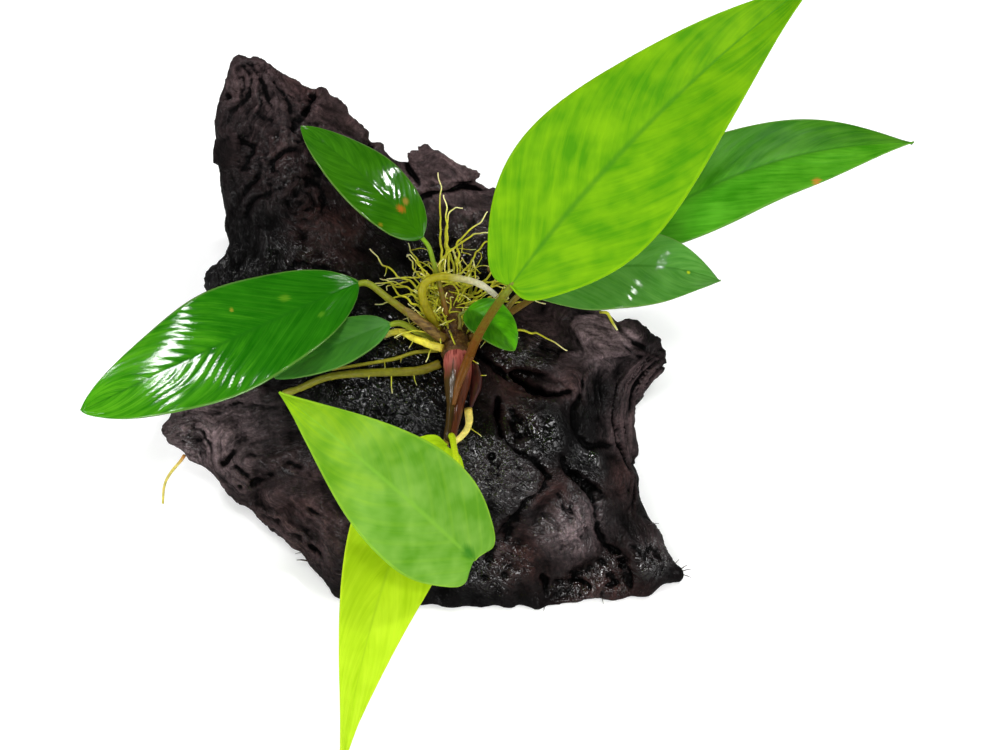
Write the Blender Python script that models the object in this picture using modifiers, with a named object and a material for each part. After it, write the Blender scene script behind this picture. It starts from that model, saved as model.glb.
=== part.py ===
"""A small anubias plant rooted on a piece of dark driftwood, as closed solids.

The wood rests on its flat underside, with the origin on that face, +Z up and
+Y pointing away from the viewer. Lengths are in metres. Tables of places are
written in millimetres and are scaled by MM where they are used.
"""
import math
import random

import bmesh
import bpy
import numpy as np
from mathutils import Matrix, Vector, noise
from mathutils.bvhtree import BVHTree

MM = 0.001
GAP = 0.3 * MM

# Driving dimensions of the plant
BLADE_THICKNESS = 0.7 * MM
BLADE_CELLS = (10, 4)
BASE_CROWDING = 1.4
WAVES_ALONG_BLADE = 2.2
STALK_SHORT_OF_BLADE = 0.9 * MM
STALK_STEP = 4.5 * MM
STALK_TAPER = (1.15, 1.0, 0.95, 0.85)
RHIZOME_STEP = 2.2 * MM
SHEATH_STEP = 2.8 * MM
THICK_ROOT_STEP = 2.2 * MM
FINE_ROOT_RADIUS = 0.32 * MM
FINE_ROOT_STEP = 1.9 * MM
FINE_ROOT_TAPER = (1.15, 1.0, 0.75)

# How tubes are eased clear of each other
UPWARD_BIAS = 3.0
EASING_TURNS, SMOOTHING_TURNS = 10, 4
SAMPLE_STEP = 0.4 * MM

# Driving dimensions of the wood
WOOD_CENTRE = (0.0, 5.0)
WOOD_TRIANGLES = 4250
WOOD_VOXEL = 1.3 * MM
SUNK_BELOW_FLOOR = 3.0
WOOD_SEGMENTS = (200, 110)
TOP_ENDS, WALL_ENDS = 0.62, 0.82
BELLY = 0.02
PLATE_STIFFNESS = 30.0
LUMP_SIZE, LUMP_HEIGHT = 12.0, 1.5
LEDGE_SPACING, LEDGE_HEIGHT = 8.0, 1.5
LEDGE_DIRECTION = Vector((0.62, 0.55, -0.75))
WIDE_BEND, TIGHT_BEND = 22.0, 8.0
RIDGE_WIDTH, RIDGE_LENGTH, RIDGE_HEIGHT = 5.0, 24.0, 2.2
PIT_SIZE, PIT_SHARE, PIT_DEPTH = 8.0, 0.36, 5.0
CALM_REACH = 7.0
RHIZOME_BED = [(7, 16), (8, 0), (8, -18)]

# The wood's edge seen from above, clockwise from the horn's left corner: x, y, height of the edge,
# height of the underside below it, and the share by which the wall draws in on its way down.
WOOD_EDGE = [
    (-50.5, 74, 66, 16, 0.20),  # left corner of the horn
    (-41, 73.5, 68, 16, 0.22),
    (-32, 68, 63, 12, 0.18),
    (-26, 66, 62, 10, 0.16),    # small bump on the ridge
    (-17, 60, 56, 4, 0.12),
    (-7, 54, 50, -3, 0.08),
    (0, 55, 55, -3, 0.06),      # wedge block
    (8, 51, 53, -3, 0.05),
    (18, 46, 47, -3, 0.05),
    (28, 35, 42, -3, 0.05),
    (38, 23, 38, 2, 0.08),
    (45, 16, 36, 7, 0.14),
    (53, 13.5, 34, 10, 0.20),   # root of the stub
    (62.5, 9.5, 31, 13, 0.26),  # tip of the stub
    (62, 6, 27, 11, 0.22),
    (54, -1, 20, 4, 0.12),
    (53, -12, 14, -3, 0.06),
    (55, -26, 9, -3, 0.04),
    (60, -36, 6, -3, 0.03),
    (66, -44, 4, -3, 0.03),     # tip of the foot
    (60, -46, 3, -3, 0.03),
    (45, -47.5, 2, -3, 0.03),
    (19, -49, 2, -3, 0.03),
    (0, -49, 2, -3, 0.03),
    (-23, -48, 4, -3, 0.04),
    (-32, -38, 9, 0, 0.08),
    (-46, -28, 13, 4, 0.12),
    (-56, -20, 16, 7, 0.16),
    (-67, -12, 20, 10, 0.20),   # tip of the left lobe
    (-65, 0, 28, 11, 0.20),
    (-59, 13, 36, 10, 0.18),
    (-54, 24, 41, 8, 0.16),
    (-50, 33, 46, 8, 0.16),
    (-50.5, 43, 50, 10, 0.18),
    (-53, 51, 54, 12, 0.20),
    (-51.5, 62, 60, 15, 0.20),
]

# Heights of the upper face inside the edge: x, y, height
WOOD_HEIGHTS = [
    # plateau that carries the rhizome
    (7, 14, 41.5), (8, 0, 42), (8, -12, 42), (7, -24, 39), (-2, 6, 42.5), (15, 8, 41.5),
    # hollow behind the roots
    (8, 28, 39), (-3, 34, 41), (16, 26, 40), (24, 22, 41), (22, 10, 42),
    # wedge block and the back ridge
    (5, 46, 51), (14, 44, 48), (-8, 46, 47), (-14, 42, 50),
    # slope of the horn
    (-10, 28, 44), (-20, 34, 51), (-28, 50, 59), (-38, 60, 66), (-44, 48, 58), (-36, 38, 55),
    (-32, 26, 49), (-42, 22, 44),
    # left shoulder and lobe
    (-20, 15, 44), (-34, 10, 40), (-48, 4, 34), (-10, -4, 42), (-19, -4, 39.5), (-30, -5, 35),
    (-42, -8, 30), (-54, -8, 27), (-48, -20, 21), (-34, -22, 24), (-24, -34, 18),
    # slope at the front
    (-12, -16, 34), (-10, -34, 20), (2, -36, 25), (17, -12, 41), (22, -25, 37), (10, -30, 34),
    (24, -38, 20), (12, -44, 12), (36, -42, 12), (50, -40, 12), (57, -42, 11), (46, -30, 21),
    # facet and the concave face on the right
    (30, -2, 40), (36, 9, 41), (41, 2, 38), (50, 5, 35), (47, 12, 37), (32, -14, 35),
    (41, -10, 31), (47, -6, 27), (42, -22, 25), (51, -16, 16),
]

# Grooves cut in the upper face: half width, depth and the points along them
WOOD_GROOVES = [
    (1.6, 4.0, [(19, -11), (25, -18), (31, -24)]),              # diagonal crack
    (1.5, 3.5, [(35, -22), (40, -25), (45, -27)]),
    (1.8, 3.0, [(31, -31), (24, -37), (18, -45)]),
    (1.6, 4.0, [(45, -37), (49, -43), (53, -48)]),              # slot in the foot
    (1.2, 2.6, [(0, 43), (9, 44), (18, 47)]),                   # crack in the wedge block
    (1.8, 2.4, [(-7, 54), (-9, 44), (-6, 36)]),                 # between block and ridge
    (1.4, 2.4, [(-38, 48), (-33, 52), (-27, 48), (-27, 41), (-32, 38), (-37, 41)]),  # swirl on the horn
    (1.4, 2.0, [(-46, 66), (-40, 58), (-36, 50)]),
    (1.4, 2.0, [(-48, 40), (-40, 34), (-34, 24)]),
    (1.4, 2.0, [(-50, 8), (-40, 0), (-30, -2)]),
    (1.4, 2.0, [(-46, -14), (-34, -18), (-24, -26), (-16, -38)]),
    (1.3, 1.8, [(34, 10), (38, 2), (38, -8), (40, -18)]),       # grain on the concave face
    (1.2, 1.6, [(45, 3), (43, -6), (45, -16)]),
]

# Raised ribs and ledges: half width, height and the points along them
WOOD_RIBS = [
    (2.2, 2.6, [(12, 4), (22, 2), (34, -2)]),                   # shelf over the dark slot
    (2.0, 2.2, [(48, 3), (48, -7), (50, -14), (54, -20)]),      # edge of the concave face
    (1.8, 1.8, [(-5, 46), (6, 49), (18, 44)]),
    (2.4, 2.0, [(-52, 60), (-48, 50), (-46, 40)]),
    (2.0, 1.8, [(-26, 64), (-22, 54), (-18, 44)]),
    (2.2, 1.8, [(-56, -4), (-44, -4), (-34, -10)]),
    (2.0, 1.6, [(-40, -22), (-28, -34), (-20, -44)]),           # rim over the undercut left side
    (1.8, 1.6, [(10, -20), (14, -32), (10, -42)]),
]

# Round lumps, or hollows where the height is negative: x, y, radius, height
WOOD_LUMPS = [
    (-26, 64, 4.0, 3.0),
    (-52, -20, 4.5, 2.6),
    (57, -41, 5.0, 2.8),
    (24, -26, 9.0, 1.8),
    (17, -24, 2.4, -2.2),
    (-31, 44, 4.0, 2.2),
    (52, 12, 4.0, -1.6),
    (30, -44, 3.0, -2.6),
    (38, -45, 2.6, -2.4),
    (44, -44, 2.2, -2.2),
    (-16, 24, 6.0, 1.5),
    (34, 24, 5.0, 2.0),
]

# Deep pockets that run under the surface: centre, half sizes and the turn about the vertical in degrees
WOOD_POCKETS = {
    "pocket_shelf": ((27, -4, 38), (11, 3.0, 2.6), -17),
    "pocket_lobe": ((-44, -22, 17), (4.5, 2.6, 2.2), 20),
    "pocket_foot": ((50, -45, 5.5), (1.6, 6.0, 2.4), -38),
    "pocket_front": ((33, -48.5, 4.5), (4.5, 3.0, 1.8), 0),
    "pocket_back": ((20, 47, 26), (7.0, 3.4, 3.0), -25),
    "pocket_horn": ((-52, 50, 34), (3.5, 7.0, 4.0), 0),
}

# Each blade: base, middle and tip of its midrib in millimetres, its full width, where along it the width
# is greatest, how drawn out its point is, its roll about the midrib in degrees, how far its edges rise,
# and the height of its waves.
LEAVES = {
    "leaf_1": dict(base=(21.4, -8, 97), middle=(54.3, 28.3, 110), tip=(96, 67.5, 112), width=38,
                   widest=0.30, point=1.5, roll=0, cup=1.2, wave=0.8, young=True),
    "leaf_2": dict(base=(43.8, 22.8, 53), middle=(81, 44.4, 59), tip=(124, 55.5, 54), width=24,
                   widest=0.42, point=1.0, roll=0, cup=1.5, wave=0.6, young=False),
    "leaf_3": dict(base=(25.3, 11.6, 57), middle=(49.2, 15.2, 63), tip=(72.5, 13.8, 58), width=20,
                   widest=0.45, point=0.85, roll=0, cup=1.2, wave=0.5, young=False),
    "leaf_4": dict(base=(11.2, 7.5, 55), middle=(17, 3, 57), tip=(22.4, -3, 54), width=10.5,
                   widest=0.42, point=0.65, roll=0, cup=0.8, wave=0.2, young=False),
    "leaf_5": dict(base=(0.2, 21.5, 66), middle=(-13.2, 33.6, 73), tip=(-29.6, 49, 72), width=16,
                   widest=0.42, point=0.8, roll=0, cup=1.0, wave=0.3, young=False),
    "leaf_6": dict(base=(-15.4, 12.2, 60), middle=(-46.6, -6.2, 64), tip=(-81, -18.2, 52), width=27,
                   widest=0.47, point=0.8, roll=0, cup=1.4, wave=0.7, young=False),
    "leaf_7": dict(base=(-7.9, 5.1, 52), middle=(-21.6, -0.9, 51.5), tip=(-36, -6.7, 46), width=12,
                   widest=0.45, point=0.85, roll=0, cup=0.8, wave=0.3, young=False),
    "leaf_8": dict(base=(13.1, -59.4, 62), middle=(-7, -50, 90), tip=(-27.3, -37.8, 106), width=27,
                   widest=0.28, point=1.2, roll=-14, cup=1.4, wave=0.6, young=True),
    "leaf_9": dict(base=(6.2, -27, 51), middle=(-7.2, -64, 60), tip=(-16.9, -106.6, 46), width=24,
                   widest=0.25, point=1.5, roll=-12, cup=1.2, wave=0.8, young=True),
}

# Each stalk: where it leaves the rhizome or the sheath, the places that it passes, and its radius
STALKS = {
    "stalk_1": dict(start=(11.5, -3.5, 51.5), passes=[(14.0, -4.4, 66), (18.0, -6.0, 83)], thick=1.15),
    "stalk_2": dict(start=(12.6, 3.5, 48.6), passes=[(22, 9.5, 50), (33, 17, 51)], thick=0.95),
    "stalk_3": dict(start=(12.6, 0.5, 50.4), passes=[(18, 5.0, 53.5)], thick=0.9),
    "stalk_4": dict(start=(9.3, 5.0, 52.2), passes=[], thick=0.7),
    "stalk_5": dict(start=(5.6, 9.0, 52.0), passes=[(4.2, 14, 57), (2.4, 19, 62.5)], thick=0.9),
    "stalk_6": dict(start=(4.2, 2.0, 52.0), passes=[(-4.1, 6.8, 55.5)], thick=1.0),
    "stalk_7": dict(start=(2.6, 2.5, 48.0), passes=[(-1.5, 4.4, 50)], thick=0.95),
    "stalk_8": dict(start=(8.8, -25.4, 51.8), passes=[(9.6, -36, 59.5), (11.8, -48, 60.5)], thick=0.85,
                    short=1.6 * MM),
    "stalk_9": dict(start=(5.6, -25.3, 50.0), passes=[], thick=0.6),
}

# Rhizome, sheath and bud: the line that each follows and its radii along it, in millimetres
RHIZOME_PATH = [(6.4, 18.5, 46.8), (7.0, 12, 47.2), (7.6, 5, 47.4), (8.3, -1, 47.8)]
RHIZOME_RADII = [2.4, 3.6, 3.2, 3.9, 3.4, 4.0, 3.5, 3.9, 3.6, 3.8]
SHEATH_PATH = [(8.5, -1.9, 48), (8.8, -8, 48.6), (8.2, -17, 50), (7.2, -24, 50.6)]
SHEATH_RADII = [3.3, 3.7, 3.6, 3.1, 2.5, 2.0, 1.8]
BUD_PATH = [(12.8, -3.4, 46), (13.0, -8, 46), (12.0, -14.5, 46.6)]
BUD_RADII = [0.9, 1.5, 1.5, 0.9, 0.4]

# Thick roots: radius at the start and at the end, and the places that they pass
THICK_ROOTS = {
    "root_olive": (1.1, 0.85, [(3.2, -3.0, 45.5), (-1, -4.3, 45), (-10, -4.2, 44), (-19, -3.8, 42),
                               (-25, -4, 40), (-30, -5, 37), (-34, -5.6, 34)]),
    "root_olive_thin": (0.5, 0.4, [(2.6, 1.2, 45), (-3, 0.9, 44.5), (-6, -0.6, 44.5), (-14, -1.4, 43),
                                   (-22.5, -2.0, 41)]),
    "root_cream_left": (0.8, 0.65, [(4.0, -1.0, 51.6), (1.5, 0.0, 51), (-2.0, 3.0, 49.5), (-4.5, 4.8, 48),
                                    (-7, 5.8, 46.5), (-9.5, 5.4, 45)]),
    "root_cream_front": (0.8, 0.55, [(11.4, -17, 48), (11.8, -18.5, 46), (10.6, -20.5, 44), (8.0, -22, 42)]),
    "root_hanging": (0.45, 0.3, [(-61.5, -15.2, 17), (-65.6, -17.3, 12), (-68, -19.7, 8.5),
                                 (-68.6, -23.4, 5)]),
    "root_arch": (1.0, 0.6, [(3.2, 5.2, 50.3), (1.6, 7.0, 54), (0.2, 9.2, 58), (0, 11.2, 60), (1.6, 12.6, 61),
                             (4.5, 13.5, 61), (8, 13.6, 60), (12, 13.8, 58), (15, 13.5, 56), (18, 12.8, 52)]),
}

# Fine roots picked out one by one
FINE_ROOTS = {
    "root_up_left": [(4.4, 20.8, 48), (4.2, 29, 52), (4.2, 36, 56), (3.8, 43, 60)],
    "root_up_middle": [(6.4, 21.2, 48), (5.8, 31, 54), (5.1, 38, 58)],
    "root_hook": [(7.6, 20.8, 48), (5.6, 28, 51.5), (6.0, 34, 54), (7.4, 36, 55), (9.6, 36.8, 54)],
    "root_up_right": [(9.0, 19.6, 48), (8.6, 27, 52), (11, 30.6, 53), (14.4, 33, 53), (16, 35.4, 54)],
    "root_high_right": [(3.6, 19.8, 48), (6.0, 24.4, 52), (10, 27, 53), (13, 29.6, 53), (17.6, 31.4, 52)],
    "root_right_upper": [(11.2, 14.2, 47.6), (13, 15.6, 49), (17, 16.6, 49), (21.6, 17.4, 48)],
    "root_right_lower": [(11.8, 6.6, 46.6), (14.2, 7.8, 47), (18.4, 10.2, 47), (22, 12.2, 46)],
    "root_stray_right": [(19.5, 3.0, 44), (22, 5.6, 46.5), (24, 6.2, 46.5), (29, 5.3, 45), (35.4, 2.4, 43)],
    "root_stray_left": [(2.8, 14.6, 47), (-1.2, 17.4, 48), (-4.2, 19.8, 47), (-10.2, 24.6, 46),
                        (-14.4, 29.2, 45)],
}

# The tangle of further fine roots, in millimetres: where they start beside the rhizome, their lengths,
# and how far they rise before they come down
TANGLE_ROOTS = 12
TANGLE_SEED = 11
TANGLE_AXIS, TANGLE_OFFSET, TANGLE_HEIGHT = 7.0, 4.6, 47.6
TANGLE_STATIONS, TANGLE_LENGTHS = (6, 17), (13, 22)
TANGLE_HEADINGS, TANGLE_SWERVE = (25, 80), 0.55
TANGLE_BENDS = 5
TANGLE_RISE, TANGLE_DROP = 4.0, 3.5


def material(name, colour, roughness):
    """A plain opaque material of one colour."""
    made = bpy.data.materials.new(name)
    made.use_nodes = True
    shader = made.node_tree.nodes["Principled BSDF"]
    shader.inputs["Base Color"].default_value = (*colour, 1.0)
    shader.inputs["Roughness"].default_value = roughness
    shader.inputs["Metallic"].default_value = 0.0
    return made


def place(name, mesh, collection, surface):
    """Put a mesh in the scene as an object with one material."""
    made = bpy.data.objects.new(name, mesh)
    collection.objects.link(made)
    made.data.materials.clear()
    made.data.materials.append(surface)
    return made


def evaluated_mesh(source):
    """The mesh of an object with its modifiers applied."""
    graph = bpy.context.evaluated_depsgraph_get()
    return bpy.data.meshes.new_from_object(source.evaluated_get(graph))


def shade_round(mesh, angle=40):
    """Smooth shading that keeps the edges sharper than an angle in degrees."""
    mesh.shade_smooth()
    mesh.set_sharp_from_angle(angle=math.radians(angle))


# Driftwood

def height_field(samples):
    """A thin-plate surface through scattered heights, as a function of x and y arrays."""
    places = np.array([(x, y) for x, y, height in samples], float)
    heights = np.array([height for x, y, height in samples], float)

    def bend(squared):
        return 0.5 * squared * np.log(squared + 1e-9)

    def squared_distance(first, second):
        return ((first[:, None, :] - second[None, :, :]) ** 2).sum(axis=2)

    count = len(samples)
    system = np.zeros((count + 3, count + 3))
    system[:count, :count] = bend(squared_distance(places, places)) + PLATE_STIFFNESS * np.eye(count)
    system[:count, count] = 1.0
    system[:count, count + 1:] = places
    system[count, :count] = 1.0
    system[count + 1:, :count] = places.T
    weights = np.linalg.solve(system, np.append(heights, (0.0, 0.0, 0.0)))

    def field(x, y):
        spots = np.stack((x, y), axis=1)
        plane = weights[count] + spots @ weights[count + 1:]
        return bend(squared_distance(spots, places)) @ weights[:count] + plane

    return field


def distance_to_path(x, y, path):
    """How far each place lies from a run of straight stretches."""
    nearest = np.full(len(x), np.inf)
    for (x0, y0), (x1, y1) in zip(path, path[1:]):
        dx, dy = x1 - x0, y1 - y0
        along = np.clip(((x - x0) * dx + (y - y0) * dy) / (dx * dx + dy * dy), 0.0, 1.0)
        nearest = np.minimum(nearest, np.hypot(x - x0 - along * dx, y - y0 - along * dy))
    return nearest


def carved(x, y, height):
    """The height with the wood's grooves, ribs and lumps worked into it."""
    for half_width, depth, path in WOOD_GROOVES:
        height = height - depth * np.exp(-(distance_to_path(x, y, path) / half_width) ** 2)
    for half_width, rise, path in WOOD_RIBS:
        height = height + rise * np.exp(-(distance_to_path(x, y, path) / half_width) ** 2)
    for centre_x, centre_y, radius, rise in WOOD_LUMPS:
        spread = np.hypot(x - centre_x, y - centre_y) / radius
        height = height + rise * np.exp(-spread ** 2)
    return height


def wood_skin():
    """A sphere drawn out to the wood's edge: upper face, wall and underside in turn."""
    edge = np.array(WOOD_EDGE, float)
    angle = np.arctan2(edge[:, 1] - WOOD_CENTRE[1], edge[:, 0] - WOOD_CENTRE[0])
    radius = np.hypot(edge[:, 0] - WOOD_CENTRE[0], edge[:, 1] - WOOD_CENTRE[1])
    field = height_field([tuple(row[:3]) for row in edge] + WOOD_HEIGHTS)

    skin = bmesh.new()
    bmesh.ops.create_uvsphere(skin, u_segments=WOOD_SEGMENTS[0], v_segments=WOOD_SEGMENTS[1], radius=1.0)
    points = np.array([vert.co for vert in skin.verts])
    heading = np.arctan2(points[:, 1], points[:, 0])
    share = np.arccos(np.clip(points[:, 2], -1.0, 1.0)) / math.pi

    reach = np.interp(heading, angle, radius, period=math.tau)
    underside = np.interp(heading, angle, edge[:, 3], period=math.tau)
    draw_in = np.interp(heading, angle, edge[:, 4], period=math.tau)

    across = np.clip(share / TOP_ENDS, 0.0, 1.0)
    down = np.clip((share - TOP_ENDS) / (WALL_ENDS - TOP_ENDS), 0.0, 1.0)
    under = np.clip((share - WALL_ENDS) / (1.0 - WALL_ENDS), 0.0, 1.0)

    scale = across * (1.0 - draw_in * down ** 1.4 + BELLY * np.sin(math.pi * down)) * (1.0 - under)
    x = WOOD_CENTRE[0] + scale * reach * np.cos(heading)
    y = WOOD_CENTRE[1] + scale * reach * np.sin(heading)
    edge_x = WOOD_CENTRE[0] + across * reach * np.cos(heading)
    edge_y = WOOD_CENTRE[1] + across * reach * np.sin(heading)

    top = carved(edge_x, edge_y, field(edge_x, edge_y))
    foot = underside * (1.0 - under) ** 2 - SUNK_BELOW_FLOOR * (1.0 - (1.0 - under) ** 2)
    z = top + (foot - top) * down
    for vert, spot in zip(skin.verts, zip(x, y, z)):
        vert.co = Vector(spot) * MM
    return skin


def flakes(spot):
    """Layered ledges across the grain: each rises slowly and breaks off short."""
    bent = noise.noise(spot / WIDE_BEND) * 1.6 + noise.noise(spot / TIGHT_BEND) * 0.35
    across = spot.dot(LEDGE_DIRECTION) / LEDGE_SPACING + bent
    return (across % 1.0) ** 1.5 - 0.4


def roughen(mesh):
    """Weathered relief: broken lumps, flaking ledges, pits, and long ridges down the steep sides."""
    skin = bmesh.new()
    skin.from_mesh(mesh)
    skin.normal_update()
    shifts = []
    for vert in skin.verts:
        spot = vert.co / MM
        steepness = 1.0 - abs(vert.normal.z)
        lumps = noise.fractal(spot / LUMP_SIZE, 0.8, 2.0, 3) * LUMP_HEIGHT
        long_way = Vector((spot.x / RIDGE_WIDTH, spot.y / RIDGE_WIDTH, spot.z / RIDGE_LENGTH))
        ridges = noise.noise(long_way) * steepness * RIDGE_HEIGHT
        pits = max(0.0, PIT_SHARE - noise.voronoi(spot / PIT_SIZE)[0][0]) * PIT_DEPTH
        shift = lumps + flakes(spot) * LEDGE_HEIGHT + ridges - pits
        bed = distance_to_path(np.array([spot.x]), np.array([spot.y]), RHIZOME_BED)[0]
        calm = 1.0 - 0.8 * math.exp(-(bed / CALM_REACH) ** 2) if vert.normal.z > 0 else 1.0
        shifts.append(shift * calm)
    for vert, shift in zip(skin.verts, shifts):
        vert.co += vert.normal * shift * MM
    skin.to_mesh(mesh)
    skin.free()


def pocket(name, centre, half_sizes, turn, collection):
    """An egg-shaped cutter for a pocket in the wood."""
    shape = bmesh.new()
    bmesh.ops.create_icosphere(shape, subdivisions=3, radius=1.0)
    bmesh.ops.scale(shape, vec=Vector(half_sizes) * MM, verts=shape.verts)
    mesh = bpy.data.meshes.new(name)
    shape.to_mesh(mesh)
    shape.free()
    cutter = bpy.data.objects.new(name, mesh)
    turned = Matrix.Rotation(math.radians(turn), 4, "Z")
    cutter.matrix_world = Matrix.Translation(Vector(centre) * MM) @ turned
    cutter.hide_render = True
    cutter.display_type = "WIRE"
    collection.objects.link(cutter)
    return cutter


def driftwood(collection, cutters, surface):
    """The lump of wood, cut off flat where it rests."""
    skin = wood_skin()
    mesh = bpy.data.meshes.new("driftwood")
    skin.to_mesh(mesh)
    skin.free()
    wood = place("driftwood", mesh, collection, surface)
    remesh = wood.modifiers.new("Even skin", "REMESH")
    remesh.mode = "VOXEL"
    remesh.voxel_size = WOOD_VOXEL
    wood.data = evaluated_mesh(wood)
    wood.modifiers.clear()
    roughen(wood.data)

    for name, (centre, half_sizes, turn) in WOOD_POCKETS.items():
        cut = wood.modifiers.new(name, "BOOLEAN")
        cut.operation = "DIFFERENCE"
        cut.object = pocket(name, centre, half_sizes, turn, cutters)
    remesh = wood.modifiers.new("Even skin", "REMESH")
    remesh.mode = "VOXEL"
    remesh.voxel_size = WOOD_VOXEL
    wood.data = evaluated_mesh(wood)
    wood.modifiers.clear()

    triangles = sum(len(face.vertices) - 2 for face in wood.data.polygons)
    thin = wood.modifiers.new("Facets", "DECIMATE")
    thin.ratio = WOOD_TRIANGLES / triangles
    wood.data = evaluated_mesh(wood)
    wood.modifiers.clear()

    cut = bmesh.new()
    cut.from_mesh(wood.data)
    whole = cut.verts[:] + cut.edges[:] + cut.faces[:]
    bmesh.ops.bisect_plane(cut, geom=whole, plane_co=(0, 0, 0), plane_no=(0, 0, 1), clear_inner=True)
    bmesh.ops.holes_fill(cut, edges=cut.edges[:])
    bmesh.ops.triangulate(cut, faces=cut.faces[:])
    cut.to_mesh(wood.data)
    cut.free()
    wood.data.materials.clear()
    wood.data.materials.append(surface)
    shade_round(wood.data, 35)
    return wood


# Paths and tubes

def smooth_path(points, spacing):
    """Even samples of a smooth curve through hand-picked places, with an even number of steps."""
    ends = [points[0] * 2 - points[1]] + points + [points[-1] * 2 - points[-2]]
    dense = []
    for before, start, end, after in zip(ends, ends[1:], ends[2:], ends[3:]):
        for step in range(20):
            t = step / 20
            dense.append(0.5 * (2 * start + (end - before) * t
                                + (2 * before - 5 * start + 4 * end - after) * t ** 2
                                + (3 * start - before - 3 * end + after) * t ** 3))
    dense.append(points[-1])
    run = np.cumsum([0.0] + [(b - a).length for a, b in zip(dense, dense[1:])])
    count = 2 * max(1, round(run[-1] / (2 * spacing)))
    wanted = np.linspace(0.0, run[-1], count + 1)
    columns = np.array(dense).T
    return [Vector(spot) for spot in zip(*(np.interp(wanted, run, column) for column in columns))]


def tapered(count, radii):
    """Radii spread evenly along a path of a number of points."""
    return list(np.interp(np.linspace(0, 1, count), np.linspace(0, 1, len(radii)), radii))


def dense_samples(points, radii):
    """Close samples of the places and radii along a tube."""
    spots = np.array(points)
    run = np.append(0.0, np.cumsum(np.linalg.norm(np.diff(spots, axis=0), axis=1)))
    wanted = np.linspace(0.0, run[-1], max(2, math.ceil(run[-1] / SAMPLE_STEP)))
    columns = [np.interp(wanted, run, column) for column in spots.T]
    return np.stack(columns, axis=1), np.interp(wanted, run, radii)


class Surroundings:
    """What a tube has to stay clear of: the wood and the tubes laid before it."""

    def __init__(self, wood):
        skin = bmesh.new()
        skin.from_mesh(wood.data)
        self.wood = BVHTree.FromBMesh(skin)
        skin.free()
        self.places = np.zeros((0, 3))
        self.radii = np.zeros(0)

    def push(self, point, radius):
        """Move a point of a tube straight out of whatever it touches."""
        if len(self.places):
            offsets = np.array(point) - self.places
            gaps = np.linalg.norm(offsets, axis=1) - self.radii - radius - GAP
            worst = int(np.argmin(gaps))
            if gaps[worst] < 0:
                away = Vector(offsets[worst])
                away.z = UPWARD_BIAS * (away.z if abs(away.z) > 0.1 * radius else 0.5 * radius)
                point = point - away.normalized() * gaps[worst]
        spot, normal, index, distance = self.wood.find_nearest(point)
        if (point - spot).dot(normal) < 0:
            distance = -distance
        if distance < radius + GAP:
            point = point + normal * (radius + GAP - distance)
        return point

    def lay(self, points, radii, held_end=0):
        """The path eased clear of its surroundings, but for a number of held points at its end."""
        eased = [point.copy() for point in points]
        last = len(eased) - held_end
        for turn in range(EASING_TURNS):
            for index in range(last):
                eased[index] = self.push(eased[index], radii[index])
            if turn < SMOOTHING_TURNS:
                inner = range(1, min(last, len(eased) - 1))
                middle = [0.5 * eased[i] + 0.25 * (eased[i - 1] + eased[i + 1]) for i in inner]
                eased[1:1 + len(middle)] = middle
        return eased

    def is_clear(self, points, radii):
        """Whether a finished tube keeps off the wood and off the tubes laid before it."""
        spots, thickness = dense_samples(points, radii)
        for spot, radius in zip(spots, thickness):
            gap = np.min(np.linalg.norm(self.places - spot, axis=1) - self.radii) - radius
            nearest, normal, index, distance = self.wood.find_nearest(Vector(spot))
            if (Vector(spot) - nearest).dot(normal) < 0:
                distance = -distance
            if min(gap, distance - radius) < GAP / 3:
                return False
        return True

    def add(self, points, radii):
        """Remember a tube, so that later ones stay clear of it."""
        spots, thickness = dense_samples(points, radii)
        self.places = np.vstack((self.places, spots))
        self.radii = np.append(self.radii, thickness)


def tube(name, points, radii, collection, surface, rounds):
    """A tube with filled ends along a path, thick or thin as its radii say."""
    line = bpy.data.curves.new(name, "CURVE")
    line.dimensions = "3D"
    line.bevel_depth = 1.0
    line.bevel_resolution = rounds
    line.use_fill_caps = True
    line.resolution_u = 1
    line.render_resolution_u = 0
    spline = line.splines.new("POLY")
    spline.points.add(len(points) - 1)
    for knot, point, radius in zip(spline.points, points, radii):
        knot.co = (*point, 1.0)
        knot.radius = radius
    spline.use_smooth = True
    return place(name, line, collection, surface)


# Leaves

def midrib(leaf, along):
    """The place and the direction of a blade's midrib at a share of its length."""
    base, middle, tip = (Vector(leaf[key]) * MM for key in ("base", "middle", "tip"))
    bend = middle * 2 - (base + tip) / 2
    spot = base * (1 - along) ** 2 + bend * 2 * along * (1 - along) + tip * along ** 2
    direction = ((bend - base) * (1 - along) + (tip - bend) * along).normalized()
    return spot, direction


def half_width(leaf, along):
    """Half a blade's width: round at the base, widest near the middle, drawn out to a point."""
    widest = leaf["widest"]
    tip_power = leaf["point"]
    base_power = tip_power * widest / (1 - widest)
    peak = widest ** base_power * (1 - widest) ** tip_power
    return 0.5 * leaf["width"] * MM * along ** base_power * (1 - along) ** tip_power / peak


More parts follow.
